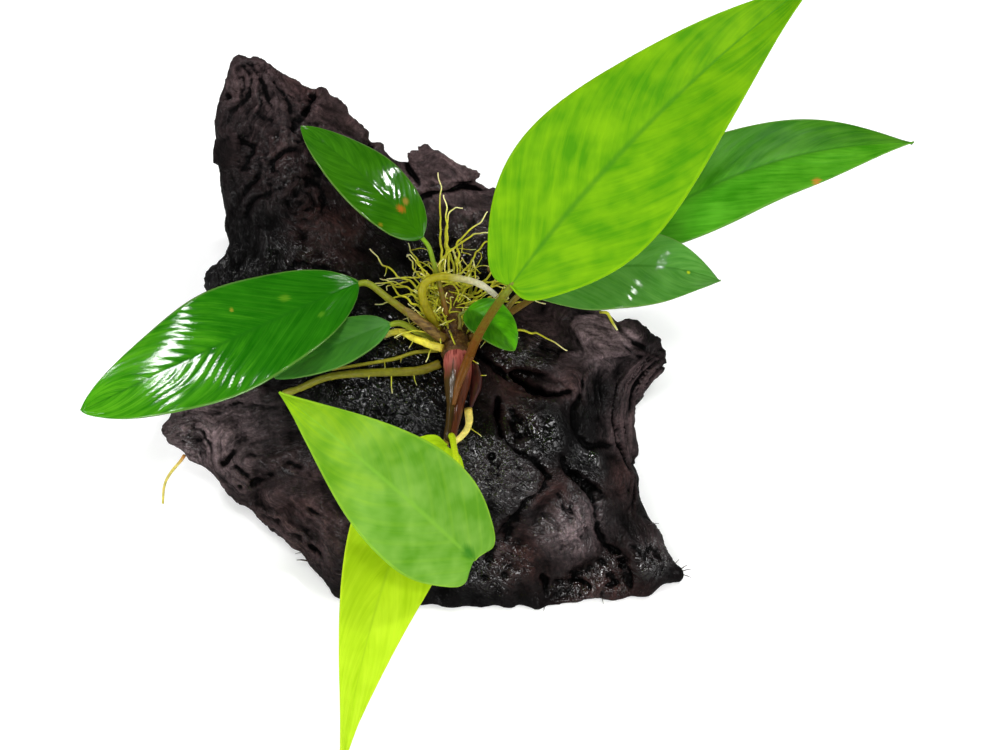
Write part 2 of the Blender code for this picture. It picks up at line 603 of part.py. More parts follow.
def blade(name, leaf, collection, surface):
    """A leaf blade: a sheet bent along its midrib, cupped, waved at its edges and made solid."""
    sheet = bmesh.new()
    bmesh.ops.create_grid(sheet, x_segments=BLADE_CELLS[0], y_segments=BLADE_CELLS[1], size=0.5)
    for vert in sheet.verts:
        along, across = (vert.co.x + 0.5) ** BASE_CROWDING, vert.co.y * 2
        spot, direction = midrib(leaf, along)
        side = direction.cross(Vector((0, 0, 1))).normalized()
        up = side.cross(direction)
        turn = Matrix.Rotation(math.radians(leaf["roll"]), 3, direction)
        side, up = turn @ side, turn @ up
        reach = half_width(leaf, along) * across
        fold = leaf["cup"] * MM * abs(across) ** 1.3 * math.sin(math.pi * along)
        swing = math.sin(math.tau * WAVES_ALONG_BLADE * along + 0.8)
        ripple = leaf["wave"] * MM * across * abs(across) * swing
        vert.co = spot + side * reach + up * (fold + ripple)
    bmesh.ops.remove_doubles(sheet, verts=sheet.verts, dist=0.01 * MM)
    bmesh.ops.recalc_face_normals(sheet, faces=sheet.faces)
    mesh = bpy.data.meshes.new(name)
    sheet.to_mesh(mesh)
    sheet.free()
    made = place(name, mesh, collection, surface)
    shade_round(mesh, 60)
    solid = made.modifiers.new("Thickness", "SOLIDIFY")
    solid.thickness = BLADE_THICKNESS
    solid.offset = 0.0
    return made


def stalk_path(leaf, stalk):
    """The path of a leaf stalk, up to the base of its blade."""
    base, direction = midrib(leaf, 0.0)
    places = [Vector(stalk["start"]) * MM] + [Vector(spot) * MM for spot in stalk["passes"]]
    arrival = (base - places[-1]).normalized()
    heading = (arrival + direction).normalized() if arrival.dot(direction) > 0 else arrival
    end = base - heading * stalk.get("short", STALK_SHORT_OF_BLADE)
    return smooth_path(places + [end - heading * 2 * MM], STALK_STEP) + [end]


# Roots

def tangle_root(side, picks):
    """One fine root of the tangle that spreads back and down from the rhizome over the wood."""
    heading = math.radians(picks.uniform(*TANGLE_HEADINGS))
    start = Vector((TANGLE_AXIS + side * TANGLE_OFFSET, picks.uniform(*TANGLE_STATIONS), TANGLE_HEIGHT))
    places = [start + Vector((0, 0, picks.uniform(-1.0, 1.0)))]
    stride = picks.uniform(*TANGLE_LENGTHS) / TANGLE_BENDS
    for step in range(TANGLE_BENDS):
        heading += picks.uniform(-TANGLE_SWERVE, TANGLE_SWERVE)
        share = (step + 1) / TANGLE_BENDS
        spot = places[-1] + Vector((side * math.cos(heading), math.sin(heading), 0)) * stride
        rise = TANGLE_RISE * math.sin(math.pi * share) * picks.uniform(0.3, 1.0)
        spot.z = TANGLE_HEIGHT + rise - TANGLE_DROP * share
        places.append(spot)
    return places


def main():
    for old in list(bpy.data.objects):
        bpy.data.objects.remove(old)
    plant = bpy.data.collections.new("anubias_on_driftwood")
    cutters = bpy.data.collections.new("cutters")
    for group in (plant, cutters):
        bpy.context.scene.collection.children.link(group)

    dark_wood = material("dark_wood", (0.020, 0.012, 0.010), 0.45)
    rhizome_skin = material("rhizome_skin", (0.16, 0.06, 0.025), 0.5)
    sheath_skin = material("sheath_skin", (0.30, 0.07, 0.06), 0.3)
    old_leaf = material("old_leaf", (0.030, 0.16, 0.018), 0.3)
    young_leaf = material("young_leaf", (0.22, 0.50, 0.03), 0.4)
    green_stalk = material("green_stalk", (0.22, 0.22, 0.03), 0.4)
    thick_root = material("thick_root", (0.35, 0.32, 0.08), 0.5)
    fine_root = material("fine_root", (0.55, 0.48, 0.10), 0.5)

    wood = driftwood(plant, cutters, dark_wood)
    around = Surroundings(wood)

    def lay_tube(name, points, radii, surface, rounds, held_end=0):
        points = around.lay(points, radii, held_end)
        around.add(points, radii)
        return tube(name, points, radii, plant, surface, rounds)

    def lay_root(name, places, thickness, spacing, surface, rounds):
        points = smooth_path([Vector(spot) * MM for spot in places], spacing / 2)
        radii = tapered(len(points), thickness)
        points, radii = around.lay(points, radii)[::2], radii[::2]
        if not around.is_clear(points, radii):
            return False
        around.add(points, radii)
        tube(name, points, radii, plant, surface, rounds)
        return True

    creeping = smooth_path([Vector(spot) * MM for spot in RHIZOME_PATH], RHIZOME_STEP)
    wrapped = smooth_path([Vector(spot) * MM for spot in SHEATH_PATH], SHEATH_STEP)
    creeping_radii = [r * MM for r in tapered(len(creeping), RHIZOME_RADII)]
    wrapped_radii = [r * MM for r in tapered(len(wrapped), SHEATH_RADII)]
    creeping, wrapped = around.lay(creeping, creeping_radii), around.lay(wrapped, wrapped_radii)
    around.add(creeping, creeping_radii)
    around.add(wrapped, wrapped_radii)
    tube("rhizome", creeping, creeping_radii, plant, rhizome_skin, 4)
    tube("crown_sheath", wrapped, wrapped_radii, plant, sheath_skin, 4)
    bud = smooth_path([Vector(spot) * MM for spot in BUD_PATH], SHEATH_STEP)
    lay_tube("crown_bud", bud, [r * MM for r in tapered(len(bud), BUD_RADII)], sheath_skin, 2)

    for name, leaf in LEAVES.items():
        blade(name, leaf, plant, young_leaf if leaf["young"] else old_leaf)
    for name, stalk in STALKS.items():
        points = stalk_path(LEAVES[name.replace("stalk", "leaf")], stalk)
        radii = [stalk["thick"] * MM * share for share in tapered(len(points), STALK_TAPER)]
        lay_tube(name, points, radii, green_stalk, 2, 2)

    for name, (first, last, places) in THICK_ROOTS.items():
        lay_root(name, places, (first * MM, last * MM), THICK_ROOT_STEP, thick_root, 1)
    fine = [FINE_ROOT_RADIUS * share for share in FINE_ROOT_TAPER]
    for name, places in FINE_ROOTS.items():
        lay_root(name, places, fine, FINE_ROOT_STEP, fine_root, 0)
    picks = random.Random(TANGLE_SEED)
    laid = 0
    while laid < TANGLE_ROOTS:
        places = tangle_root(-1 if laid % 2 else 1, picks)
        if lay_root(f"root_tangle_{laid + 1}", places, fine, FINE_ROOT_STEP, fine_root, 0):
            laid += 1


main()
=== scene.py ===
"""A small anubias rooted on a lump of dark, wet driftwood, photographed from above on a white table.

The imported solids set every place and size. Lengths are in metres, +Z is up, and +Y points away from
the camera. The sections follow the object from the wood up to the leaves, and end with the studio.
"""
import math
import random

import bmesh
import bpy
import numpy as np
from mathutils import Matrix, Vector, noise
from mathutils.bvhtree import BVHTree
from mathutils.kdtree import KDTree


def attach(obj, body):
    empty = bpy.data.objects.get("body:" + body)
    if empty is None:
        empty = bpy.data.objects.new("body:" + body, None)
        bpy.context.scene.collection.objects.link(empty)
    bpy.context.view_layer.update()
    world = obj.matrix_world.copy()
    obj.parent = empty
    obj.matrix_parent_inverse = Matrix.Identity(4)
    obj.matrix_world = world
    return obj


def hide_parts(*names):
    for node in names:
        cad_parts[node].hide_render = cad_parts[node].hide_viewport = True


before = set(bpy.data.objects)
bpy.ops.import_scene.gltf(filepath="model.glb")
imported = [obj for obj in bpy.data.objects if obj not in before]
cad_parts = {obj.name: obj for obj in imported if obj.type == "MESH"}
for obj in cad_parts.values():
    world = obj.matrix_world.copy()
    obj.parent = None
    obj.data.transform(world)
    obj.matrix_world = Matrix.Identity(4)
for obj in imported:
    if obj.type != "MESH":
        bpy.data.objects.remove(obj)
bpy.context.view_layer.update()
bpy.ops.object.select_all(action="DESELECT")
MM = 0.001


# Driftwood
# One lump of bogwood, soaked through and nearly black. Its weathered surface is carved by the grain:
# crumbling on the horn at the back left, layered down the right side, and wrinkled where it stays wet.

# The finest skin that keeps the wood under 200,000 triangles, after a coarse one that rounds off the
# facets of the solid
COARSE_VOXEL, SKIN_VOXEL = 1.0 * MM, 0.635 * MM
# The grain never runs straight. Its bends, each with how closely they follow one another and how far
# they reach in millimetres, come out the same in every run.
BENDS = ((0.22, 1.2), (0.7, 0.5), (1.8, 0.22))
BEND_SEED = 7
noise.seed_set(BEND_SEED)
# How many times longer than wide the ridges of the grain are
RIDGE_STRETCH = 9.0
# How far the layers of the right wall stand out, in millimetres
LAYER_DEPTH = 1.3
# Pixels over which the right wall and the split faces fade out at their edges
WALL_FADE, FACET_FADE = 2.5, 2.2
# Millimetres above the table over which the relief grows to its full height
FLOOR_FADE = 1.5
# The camera is half a metre away and tilted from straight down
CAMERA_PLACE = Vector((0.019, -0.20686, 0.47703))
CAMERA_TILT = math.radians(25.0)
LENS, SENSOR = 70.0, 36.0
PICTURE_WIDTH, PICTURE_HEIGHT = 1000, 750
FOCAL_PIXELS = PICTURE_WIDTH * LENS / SENSOR

# The run of the grain by region: a line of places, how far its hold reaches, the way the grain runs
# there (or None where it follows the line itself, in rings or layers), the spacing of its ridges, and
# their height, all in millimetres
GRAIN_REGIONS = {
    "right wall": ([(61, 7, 28), (56, 2, 24), (54, -4, 17), (54, -12, 12), (56, -24, 8)],
        6.5, None, 1.9, 1.2),
    "concave face": ([(41, -2, 35), (43, -8, 31), (45, -13, 25)], 5.0, (0.10, -0.76, -0.64), 1.0, 0.50),
    "facet": ([(40, 12, 38), (49, 9, 35)], 5.0, (0.92, -0.12, -0.35), 1.0, 0.12),
    "left lobe": ([(-62, -9, 23), (-52, -11, 27), (-36, -10, 32)], 9.0, (0.97, 0.10, 0.22), 1.0, 0.32),
    "wavy turn": ([(-57, -10, 24), (-55, -15, 22), (-53, -20, 18)], 4.0, (0.25, -0.85, -0.45), 1.3, 0.55),
    "knuckle": ([(-47, -24, 18)], 4.0, None, 1.2, 0.35),
    "left side": ([(-42, -31, 12), (-30, -37, 10), (-22, -44, 8)], 7.0, (0.62, -0.75, -0.20), 1.5, 0.35),
    "horn": ([(-44, 68, 66), (-44, 62, 63), (-47, 56, 60)], 7.0, None, 1.5, 0.30),
    "smooth side of the horn": ([(-32, 67, 64)], 6.0, (0.75, -0.60, -0.25), 1.3, 0.22),
    "swirl": ([(-31, 38, 54)], 6.5, None, 1.35, 0.60),
    "layered bump": ([(-27, 63, 65), (-21, 62, 61), (-15, 59, 54)], 6.0, None, 1.3, 0.40),
    "left edge": ([(-46, 34, 48), (-50, 24, 42)], 9.0, (0.2, 0.9, 0.3), 1.6, 0.40),
    "wedge block": ([(1, 53, 53), (10, 48, 51), (16, 46, 48)], 6.0, (0.90, -0.38, -0.25), 1.2, 0.28),
    "under a leaf": ([(-24, 40, 53), (-15, 34, 49)], 7.0, (0.75, -0.62, -0.20), 1.6, 0.10),
    "mound": ([(20, -28, 36), (6, -34, 30), (20, -36, 27)], 9.0, (0.70, -0.60, -0.40), 1.1, 0.20),
    "front slope": ([(34, -34, 22), (38, -40, 12)], 7.0, (0.30, -0.85, -0.45), 1.0, 0.25),
    "foot": ([(55, -34, 12), (60, -40, 8)], 6.0, (0.50, -0.80, -0.30), 1.4, 0.45),
    "shelf": ([(34, 4, 41), (26, 1, 42)], 6.0, (0.92, -0.34, -0.15), 1.2, 0.30),
    "charred middle": ([(-10, -6, 40), (0, -12, 38)], 9.0, (0.80, -0.55, -0.20), 1.4, 0.20),
}

# Wet and crumbling places: centre, reach, strength of the crumbs, and strength of the wet wrinkles
ROUGH_PLACES = {
    "top of the horn": ((-44, 66, 64), 11, 0.8, 0.15),
    "swirl": ((-37, 46, 57), 15, 1.1, 0.26),
    "left edge": ((-50, 24, 42), 13, 0.7, 0.25),
    "behind the roots": ((10, 28, 40), 14, 0.8, 0.6),
    "stub": ((57, 11, 31), 5, 1.6, 0.0),
    "front of the grey slope": ((40, -46, 4), 8, 1.0, 0.6),
    "charred middle": ((-8, -2, 41), 16, 0.5, 1.0),
    "back": ((20, 60, 30), 25, 0.7, 0.0),
    "wet ridge": ((27, -16, 37), 7, 0.5, 1.3),
    "wet slab": ((40, -22, 26), 6, 0.3, 1.0),
    "mound": ((20, -28, 36), 12, 0.1, 1.0),
    "grey slope": ((37, -35, 20), 9, 0.1, 0.8),
    "foot": ((58, -41, 10), 5, 0.3, 1.1),
    "under the mound": ((17, -43, 13), 8, 0.4, 0.9),
    "below the slot": ((24, 2, 41), 8, 0.7, 0.7),
    "left lobe": ((-60, -12, 20), 8, 0.5, 0.5),
    "beside the sixth leaf": ((-30, 24, 48), 12, 0.4, 0.5),
    "foot cavities": ((48, -44, 7), 6, 0.4, 0.9),
}

# Creases: how far they open to the left and to the right of their run, their depth, and the places
# that they pass, seen from outside the wood. None is narrower than the skin can show.
NARROWEST_CREASE = 0.75
CREASES = {
    "edge of the slab": (0.6, 1.7, 2.2, [(34, -22, 33), (36, -23, 29), (38, -24, 26), (42, -26, 23),
        (46, -27, 21)]),
    "crack to the foot": (0.6, 1.3, 1.6, [(42, -27, 22), (43, -30, 21), (44, -33, 19), (45, -36, 14),
        (46, -38, 12)]),
    "foot slot": (1.5, 1.1, 4.2, [(47, -38, 12), (49, -41, 11), (50.5, -44, 8), (52, -46, 4)]),
    "beside the foot slot": (0.5, 0.6, 1.8, [(45, -41, 9), (47, -44, 7), (49, -47, 4)]),
    "foot crack": (0.5, 0.9, 1.2, [(52, -38, 14), (55, -40, 12)]),
    "foot knob": (0.6, 0.9, 1.2, [(55.5, -42, 10), (56, -39, 12), (58, -38, 10), (61, -40, 9),
        (61, -43, 7)]),
    "upright cavity": (0.5, 0.7, 2.4, [(30, -44, 9), (31, -47, 4)]),
    "low cavities": (0.7, 0.6, 2.2, [(33, -45.5, 5), (38, -45, 5), (42, -46, 4)]),
    "right cavity": (0.8, 0.7, 2.2, [(46, -46, 4.5), (49, -45, 4)]),
    "right side of the mound": (2.2, 0.7, 2.2, [(32, -27, 31), (29, -30, 30), (26, -32, 30),
        (24, -34, 27), (21, -36, 24), (19, -38, 21), (17, -40, 18), (16, -43, 13)]),
    "branch by the mound": (0.5, 0.7, 1.2, [(24, -35, 25), (22, -37, 21), (20, -39, 18)]),
    "forked crease": (0.5, 0.9, 1.1, [(33, -30, 27), (36, -34, 23), (37, -31, 25)]),
    "lobe cavity": (1.0, 1.0, 1.8, [(-52, -19.5, 21), (-50, -18, 23), (-48, -17, 23)]),
    "lobe smear": (0.8, 0.9, 0.8, [(-46, -18, 24), (-42, -18, 24)]),
    "cavity over the knuckle": (0.9, 1.0, 1.8, [(-49.5, -20, 22), (-47, -20.5, 21), (-45, -22, 20)]),
    "undercut": (1.4, 2.6, 2.2, [(-47, -28, 10), (-42, -32, 10), (-38, -34, 8), (-33, -35.5, 8)]),
    "left crack": (0.5, 0.9, 0.9, [(-38, -22, 23), (-41, -23, 21), (-45, -23, 18)]),
    "upper crack": (0.5, 0.7, 0.8, [(-36, -20.5, 26), (-30.5, -22, 26)]),
    "notch": (0.5, 0.8, 1.2, [(-30, -30.5, 18), (-26, -32, 18)]),
    "last notch": (0.7, 1.2, 1.3, [(-30, -37, 11), (-26, -40, 11)]),
    "lobe lines": (0.5, 1.8, 0.9, [(-56, -4, 27), (-44, -6, 30), (-34, -9, 33)]),
    "valley by the bump": (1.4, 0.8, 2.2, [(-28, 64, 64), (-29, 61, 63), (-31, 58, 63), (-33, 55, 61)]),
    "shoulder line": (0.6, 2.0, 1.2, [(-54, 20, 42), (-44, 20, 45), (-31, 24, 49), (-20, 22, 47)]),
    "charred crack": (0.5, 1.6, 1.2, [(-20, 13, 44), (-16, 8, 43), (-10, 5, 43)]),
}

# Crisp raised edges: width, height and places
EDGES = {
    "lip of the groove": (0.6, 1.2, [(20, -11, 39), (22, -14, 38), (25, -18, 37), (28, -20, 36),
        (31, -22.5, 34)]),
    "tail of the shelf": (0.8, 0.9, [(34, -2, 39), (37, -4, 37), (40, -5.5, 35)]),
    "rim of the left side": (0.7, 0.9, [(-53, -21, 16), (-48, -26, 12), (-44, -28, 13), (-37, -31, 14),
        (-32, -34, 13), (-30, -37, 10)]),
    "knuckle": (2.0, 1.2, [(-49, -23, 18), (-46, -24, 18)]),
}

# Forms traced as the camera sees them, in pixels of the picture (4 to a millimetre).
# Flat split faces: the way of their fine lines, the spacing and depth of these, how far the face stands
# out in millimetres, and its corners
FACETS = {
    "split face": ((1.0, 0.24), 3.2, 0.20, 0.25, [(570, 326), (573, 315), (600, 314), (609, 327),
        (620, 343), (633, 355), (612, 358), (590, 359), (580, 343)]),
    "pale rim": ((0.6, 0.8), 9.0, 0.05, 0.55, [(602, 315), (609, 318), (618, 331), (630, 343),
        (646, 350), (659, 358), (648, 357), (634, 354), (621, 342), (610, 326)]),
    "broken plate": ((0.75, 0.65), 2.6, 0.16, 0.9, [(612, 312), (628, 312), (640, 326), (650, 340),
        (646, 347), (632, 341), (620, 330)]),
    "dark block": ((0.9, 0.3), 5.0, 0.05, 0.3, [(212, 142), (236, 131), (240, 141), (241, 158),
        (224, 169), (213, 161)]),
    "wedge block": ((0.93, 0.36), 4.5, 0.14, 0.5, [(406, 157), (422, 145), (440, 153), (462, 166),
        (482, 180), (450, 183), (424, 186), (414, 172)]),
    "bump face": ((0.88, 0.47), 3.6, 0.18, 0.3, [(312, 102), (322, 92), (336, 99), (356, 118),
        (372, 134), (380, 144), (352, 138), (326, 124), (304, 122)]),
    "under the block": ((0.9, 0.2), 4.0, 0.12, 0.2, [(430, 193), (466, 191), (498, 188), (500, 214),
        (470, 210), (436, 204)]),
    "slope of the horn": ((0.75, 0.62), 3.6, 0.16, 0.2, [(262, 64), (284, 74), (300, 82), (311, 97),
        (296, 99), (278, 88)]),
    "shelf end": ((0.8, 0.3), 4.0, 0.10, 0.2, [(560, 352), (580, 350), (588, 362), (583, 380),
        (581, 394), (566, 388), (556, 370)]),
}
# The stacked layers of the right wall, between its inner edge and its outline
WALL_EDGE = [(642, 353), (628, 367), (617, 382), (612, 398), (611, 420),
             (616, 438), (622, 455), (630, 470), (640, 492)]
WALL_OUTLINE = [(672, 361), (656, 373), (645, 388), (642, 402), (638, 425),
                (637, 445), (637, 465), (640, 480), (643, 494)]
WALL_LAYERS = 4.2
# Traced creases: widths to the left and right of their run in pixels, depth in millimetres, and path
NARROWEST_TRACED = 2.4
TRACED = {
    "wall groove": (2.2, 1.2, 2.6, [(617, 425), (620, 440), (624, 452), (631, 468)]),
    "wall groove above": (1.6, 1.6, 1.6, [(660, 359), (648, 370), (637, 382), (632, 395), (629, 412)]),
    "concave left": (1.2, 3.0, 0.9, [(596, 361), (588, 368), (582, 374), (583, 385), (581, 396),
        (574, 408), (574, 424), (586, 446)]),
    "concave low": (1.0, 3.0, 1.0, [(580, 436), (590, 446), (604, 444), (618, 447)]),
    "horn arc": (1.0, 1.6, 0.9, [(241, 63), (248, 72), (251, 84), (248, 94), (240, 104), (228, 110)]),
    "outer horn arc": (1.0, 1.6, 0.8, [(238, 68), (243, 77), (244, 88), (240, 98), (230, 104)]),
    "horn line": (1.2, 1.2, 1.0, [(247, 61), (256, 72), (264, 86), (266, 100), (272, 110)]),
    "next horn line": (1.2, 1.0, 0.8, [(256, 61), (268, 74), (281, 90), (290, 104), (292, 116)]),
    "horn hole": (2.2, 2.2, 1.6, [(226, 92), (229, 97)]),
    "under the horn slope": (1.2, 2.0, 1.1, [(268, 68), (280, 84), (296, 98), (312, 103)]),
    "crack of the block": (1.0, 1.5, 1.4, [(241, 142), (252, 144), (250, 152), (245, 158)]),
    "second crack": (1.4, 2.2, 1.5, [(297, 149), (284, 151), (273, 160), (274, 170)]),
    "third crack": (1.4, 2.0, 1.5, [(282, 188), (268, 195), (256, 198), (248, 206), (246, 216)]),
    "fourth crack": (1.2, 1.6, 1.2, [(257, 176), (248, 185), (242, 197)]),
    "ring": (1.5, 2.5, 0.7, [(284, 184), (294, 178), (308, 178), (320, 186), (325, 200), (322, 214),
        (312, 224)]),
    "inner ring": (1.2, 1.8, 0.6, [(292, 196), (300, 190), (310, 194), (313, 204), (306, 212)]),
    "crack under the wedge": (1.8, 1.4, 2.8, [(422, 197), (436, 194), (448, 193), (460, 188), (476, 187),
        (486, 190)]),
    "notch behind the wedge": (2.5, 1.5, 1.2, [(405, 158), (408, 166), (414, 176), (420, 186)]),
    "notch of the bump": (2.0, 2.0, 1.6, [(378, 144), (368, 146), (358, 144)]),
    "bump layer": (1.4, 1.0, 0.7, [(308, 112), (322, 106), (338, 112), (356, 127), (372, 142)]),
    "groove": (3.4, 5.0, 4.4, [(498, 398), (500, 418), (506, 434), (520, 446), (536, 460), (552, 476)]),
    "slot": (3.4, 2.6, 3.4, [(472, 348), (494, 368), (512, 380), (530, 389), (548, 393), (568, 392)]),
    "edge of the slab face": (1.0, 2.4, 1.6, [(562, 455), (570, 468), (584, 480), (602, 491)]),
    "end of the edge": (1.6, 1.6, 1.4, [(588, 488), (594, 500), (606, 496)]),
}

# Crumbs of broken wood: their size and how far they stand out, in millimetres
CRUMBS = ((4.2, 0.6), (1.8, 0.5))
# Places that stand out or sink in beyond the solid: centre, reach and height
SWELLINGS = {
    "dip behind the bump": ((-28.5, 63, 65), 2.0, -2.6),
    "rise behind the bump": ((-25, 64.5, 65), 2.4, 1.2),
    "bulge under the horn": ((-52.5, 58, 56), 4.5, 0.9),
    "tooth by the wedge": ((-12, 57, 51), 1.6, 1.2),
    "corner of the left edge": ((-54, 25, 41), 4.5, 1.4),
    "front rim": ((15, -50, 2), 11.0, 1.2),
    "tip of the horn": ((-47.5, 73, 66), 2.4, 1.3),
    "shoulder of the tip": ((-52.3, 70, 62), 4.0, -1.1),
    "toe": ((65.5, -42.5, 3.5), 2.4, 1.4),
    "ankle": ((58, -30.5, 8), 7.5, 2.0),
    "back of the stub": ((52, 14, 33), 2.6, 1.6),
    "end of the stub": ((61, 8, 29), 1.8, 1.0),
    "hole in the mound": ((17, -24, 38), 0.9, -2.0),
    "hole in the knuckle": ((-47, -24, 18), 0.9, -1.2),
    "tip of the lobe": ((-65, -10, 22), 2.2, 1.4),
    "first pit": ((16, -42, 14), 1.6, -0.8),
    "second pit": ((20, -45, 10), 1.2, -0.9),
    "third pit": ((15, -45, 9), 1.0, -0.8),
    "bulge of the swirl": ((-48, 50, 57), 3.0, 0.8),
    "crest of the wet ridge": ((27, -14, 37), 3.0, 0.6),
}

# Colour by region: centre, reach, and the shares of dry plum-brown and of reddish brown there
WOOD_TINTS = {
    "horn": ((-42, 66, 64), 13, 0.25, 0.30),
    "smooth side of the horn": ((-32, 67, 64), 8, 0.28, 0.65),
    "swirl": ((-36, 50, 58), 12, 0.08, 0.30),
    "layered bump": ((-20, 60, 58), 11, 0.44, 0.60),
    "wedge block": ((6, 49, 52), 12, 0.54, 0.45),
    "under the wedge": ((12, 40, 46), 9, 0.31, 0.30),
    "left lobe": ((-54, -12, 25), 13, 0.80, 0.10),
    "left side": ((-32, -31, 18), 14, 0.36, 0.60),
    "split face": ((44, 9, 37), 6.5, 1.5, 0.15),
    # Here the dry share is a painted highlight along the rim of the split face, not drier wood
    "painted highlight on the rim of the split face": ((51, 10, 35), 2.5, 1.6, 0.0),
    "top of the right wall": ((54, 2, 27), 6, 0.51, 0.35),
    "right wall": ((52, -8, 20), 7, 0.48, 0.45),
    "red strip by the crown": ((22, -7, 41), 7, 0.07, 0.85),
    "red slope of the mound": ((24, -42, 15), 8, 0.03, 0.80),
    "grey slope": ((37, -36, 19), 7, 0.90, 0.05),
    "between mound and slope": ((32, -30, 28), 5, 0.07, 0.85),
    "right slope": ((49, -22, 16), 6, 0.17, 0.75),
    "under the fifth leaf": ((-24, 32, 50), 9, 0.03, 0.85),
    "shelf end": ((36, -3, 38), 5, 0.37, 0.55),
    "shelf": ((30, 10, 41), 8, 0.31, 0.45),
    "mound": ((20, -28, 36), 8, 0.12, 0.05),
    "foot": ((58, -36, 10), 6, 0.12, 0.15),
    "front rim": ((46, -47, 3), 10, 0.03, 0.70),
}


def path_distance(spots, path, sided=None):
    """How far each spot lies from a run of straight stretches. Given its normals, also on which side
    it lies, and how wide a crease along the run is there, from 0.35 at its ends to 1."""
    corners = np.array(path, float)
    nearest = np.linalg.norm(spots - corners[0], axis=1)
    side, share = np.zeros(len(spots)), np.zeros(len(spots))
    for number, (start, end) in enumerate(zip(corners, corners[1:])):
        run = end - start
        along = np.clip((spots - start) @ run / (run @ run), 0.0, 1.0)
        distance = np.linalg.norm(spots - start - along[:, None] * run, axis=1)
        closer = distance < nearest
        nearest[closer] = distance[closer]
        share[closer] = (number + along[closer]) / (len(corners) - 1)
        if sided is not None:
            turn = np.einsum("ij,ij->i", np.cross(run, spots - start), sided)
            side[closer] = turn[closer]
    return nearest if sided is None else (nearest, side, 0.35 + 0.65 * np.sin(np.pi * share) ** 0.5)


def seen_at(spots):
    """Where the camera sees each place, in pixels of the picture."""
    turned = (spots * MM - np.array(CAMERA_PLACE)) @ np.array(Matrix.Rotation(CAMERA_TILT, 3, "X"))
    return np.column_stack((PICTURE_WIDTH / 2 - FOCAL_PIXELS * turned[:, 0] / turned[:, 2],
                            PICTURE_HEIGHT / 2 + FOCAL_PIXELS * turned[:, 1] / turned[:, 2]))


def inside(places, corners):
    """Which places lie inside an outline."""
    found = np.zeros(len(places), bool)
    for start, end in zip(corners, corners[1:] + corners[:1]):
        crosses = (places[:, 1] < start[1]) != (places[:, 1] < end[1])
        height = (places[:, 1] - start[1]) / ((end[1] - start[1]) or 1e-9)
        found ^= crosses & (places[:, 0] < start[0] + height * (end[0] - start[0]))
    return found


def coordinates(mesh, kind="co"):
    """The places or the normals of a mesh's points as an array."""
    values = np.zeros(len(mesh.vertices) * 3)
    if kind == "co":
        mesh.vertices.foreach_get("co", values)
    else:
        mesh.vertex_normals.foreach_get("vector", values)
    return values.reshape(-1, 3)


def neighbour_mean(values, edges, count):
    """Each point's mean over the points that it is joined to."""
    total = np.zeros((count,) + values.shape[1:])
    joined = np.zeros(count)
    for first, second in ((edges[:, 0], edges[:, 1]), (edges[:, 1], edges[:, 0])):
        np.add.at(total, first, values[second])
        np.add.at(joined, first, 1.0)
    return total / joined.reshape((-1,) + (1,) * (values.ndim - 1))


def write_attribute(mesh, name, values):
    """A number on each point, for a material to read."""
    layer = mesh.attributes.new(name, "FLOAT", "POINT")
    layer.data.foreach_set("value", np.ascontiguousarray(values, np.float32))


def make_active(piece):
    bpy.ops.object.select_all(action="DESELECT")
    piece.select_set(True)
    bpy.context.view_layer.objects.active = piece


def apply_all(piece):
    """Apply every modifier of a piece, from the first to the last."""
    make_active(piece)
    for modifier in list(piece.modifiers):
        bpy.ops.object.modifier_apply(modifier=modifier.name)


def copy_of_node(node, name):
    """A copy of a solid with its loose triangles joined up."""
    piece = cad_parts[node].copy()
    piece.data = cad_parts[node].data.copy()
    piece.parent = None
    piece.name = piece.data.name = name
    for key in list(piece.keys()):
        del piece[key]
    bpy.context.scene.collection.objects.link(piece)
    make_active(piece)
    bpy.ops.object.mode_set(mode="EDIT")
    bpy.ops.mesh.select_all(action="SELECT")
    bpy.ops.mesh.remove_doubles(threshold=0.000002)
    bpy.ops.object.mode_set(mode="OBJECT")
    return piece


wood = copy_of_node("driftwood", "weathered_wood")
for voxel, passes in ((COARSE_VOXEL, 3), (SKIN_VOXEL, 2)):
    even = wood.modifiers.new("Even skin", "REMESH")
    even.mode = "VOXEL"
    even.voxel_size = voxel
    soft = wood.modifiers.new("Soften", "SMOOTH")
    soft.factor = 0.5
    soft.iterations = passes
apply_all(wood)

spots = coordinates(wood.data) / MM
normals = coordinates(wood.data, "normal")
count = len(spots)
edges = np.zeros(len(wood.data.edges) * 2, int)
wood.data.edges.foreach_get("vertices", edges)
edges = edges.reshape(-1, 2)
off_floor = np.clip(spots[:, 2] / FLOOR_FADE, 0.0, 1.0)
# Each place reads the grain a little beside where it lies
bend = np.array([sum((noise.noise_vector(spot * closeness) * reach for closeness, reach in BENDS), Vector())
                 for spot in map(Vector, spots)])
bent = spots + bend

# The grain as one field: how far across it and along it each place lies, blended from its regions
across, along, hold_total = np.zeros(count), np.zeros(count), np.full(count, 1e-6)
spacing, ridge_height, layer_height = np.full(count, 1.5e-6), np.zeros(count), np.zeros(count)
for places, reach, way, gap, height in GRAIN_REGIONS.values():
    distance = path_distance(bent, places)
    hold = np.exp(-(distance / reach) ** 2) + 1e-9
    centre = np.mean(places, axis=0)
    if way is None:
        over, run = distance, bent @ np.array((0.0, -0.6, -0.8))
        layer_height = np.maximum(layer_height, hold * height)
    else:
        way = np.array(way) / np.linalg.norm(way)
        aside = np.cross(way, normals[distance < reach].mean(axis=0))
        over, run = (bent - centre) @ (aside / np.linalg.norm(aside)), (bent - centre) @ way
        ridge_height = np.maximum(ridge_height, hold * height)
    across += hold * over
    along += hold * run
    spacing += hold * gap
    hold_total += hold
across, along, spacing = across / hold_total, along / hold_total, spacing / hold_total
shift = np.zeros(count)
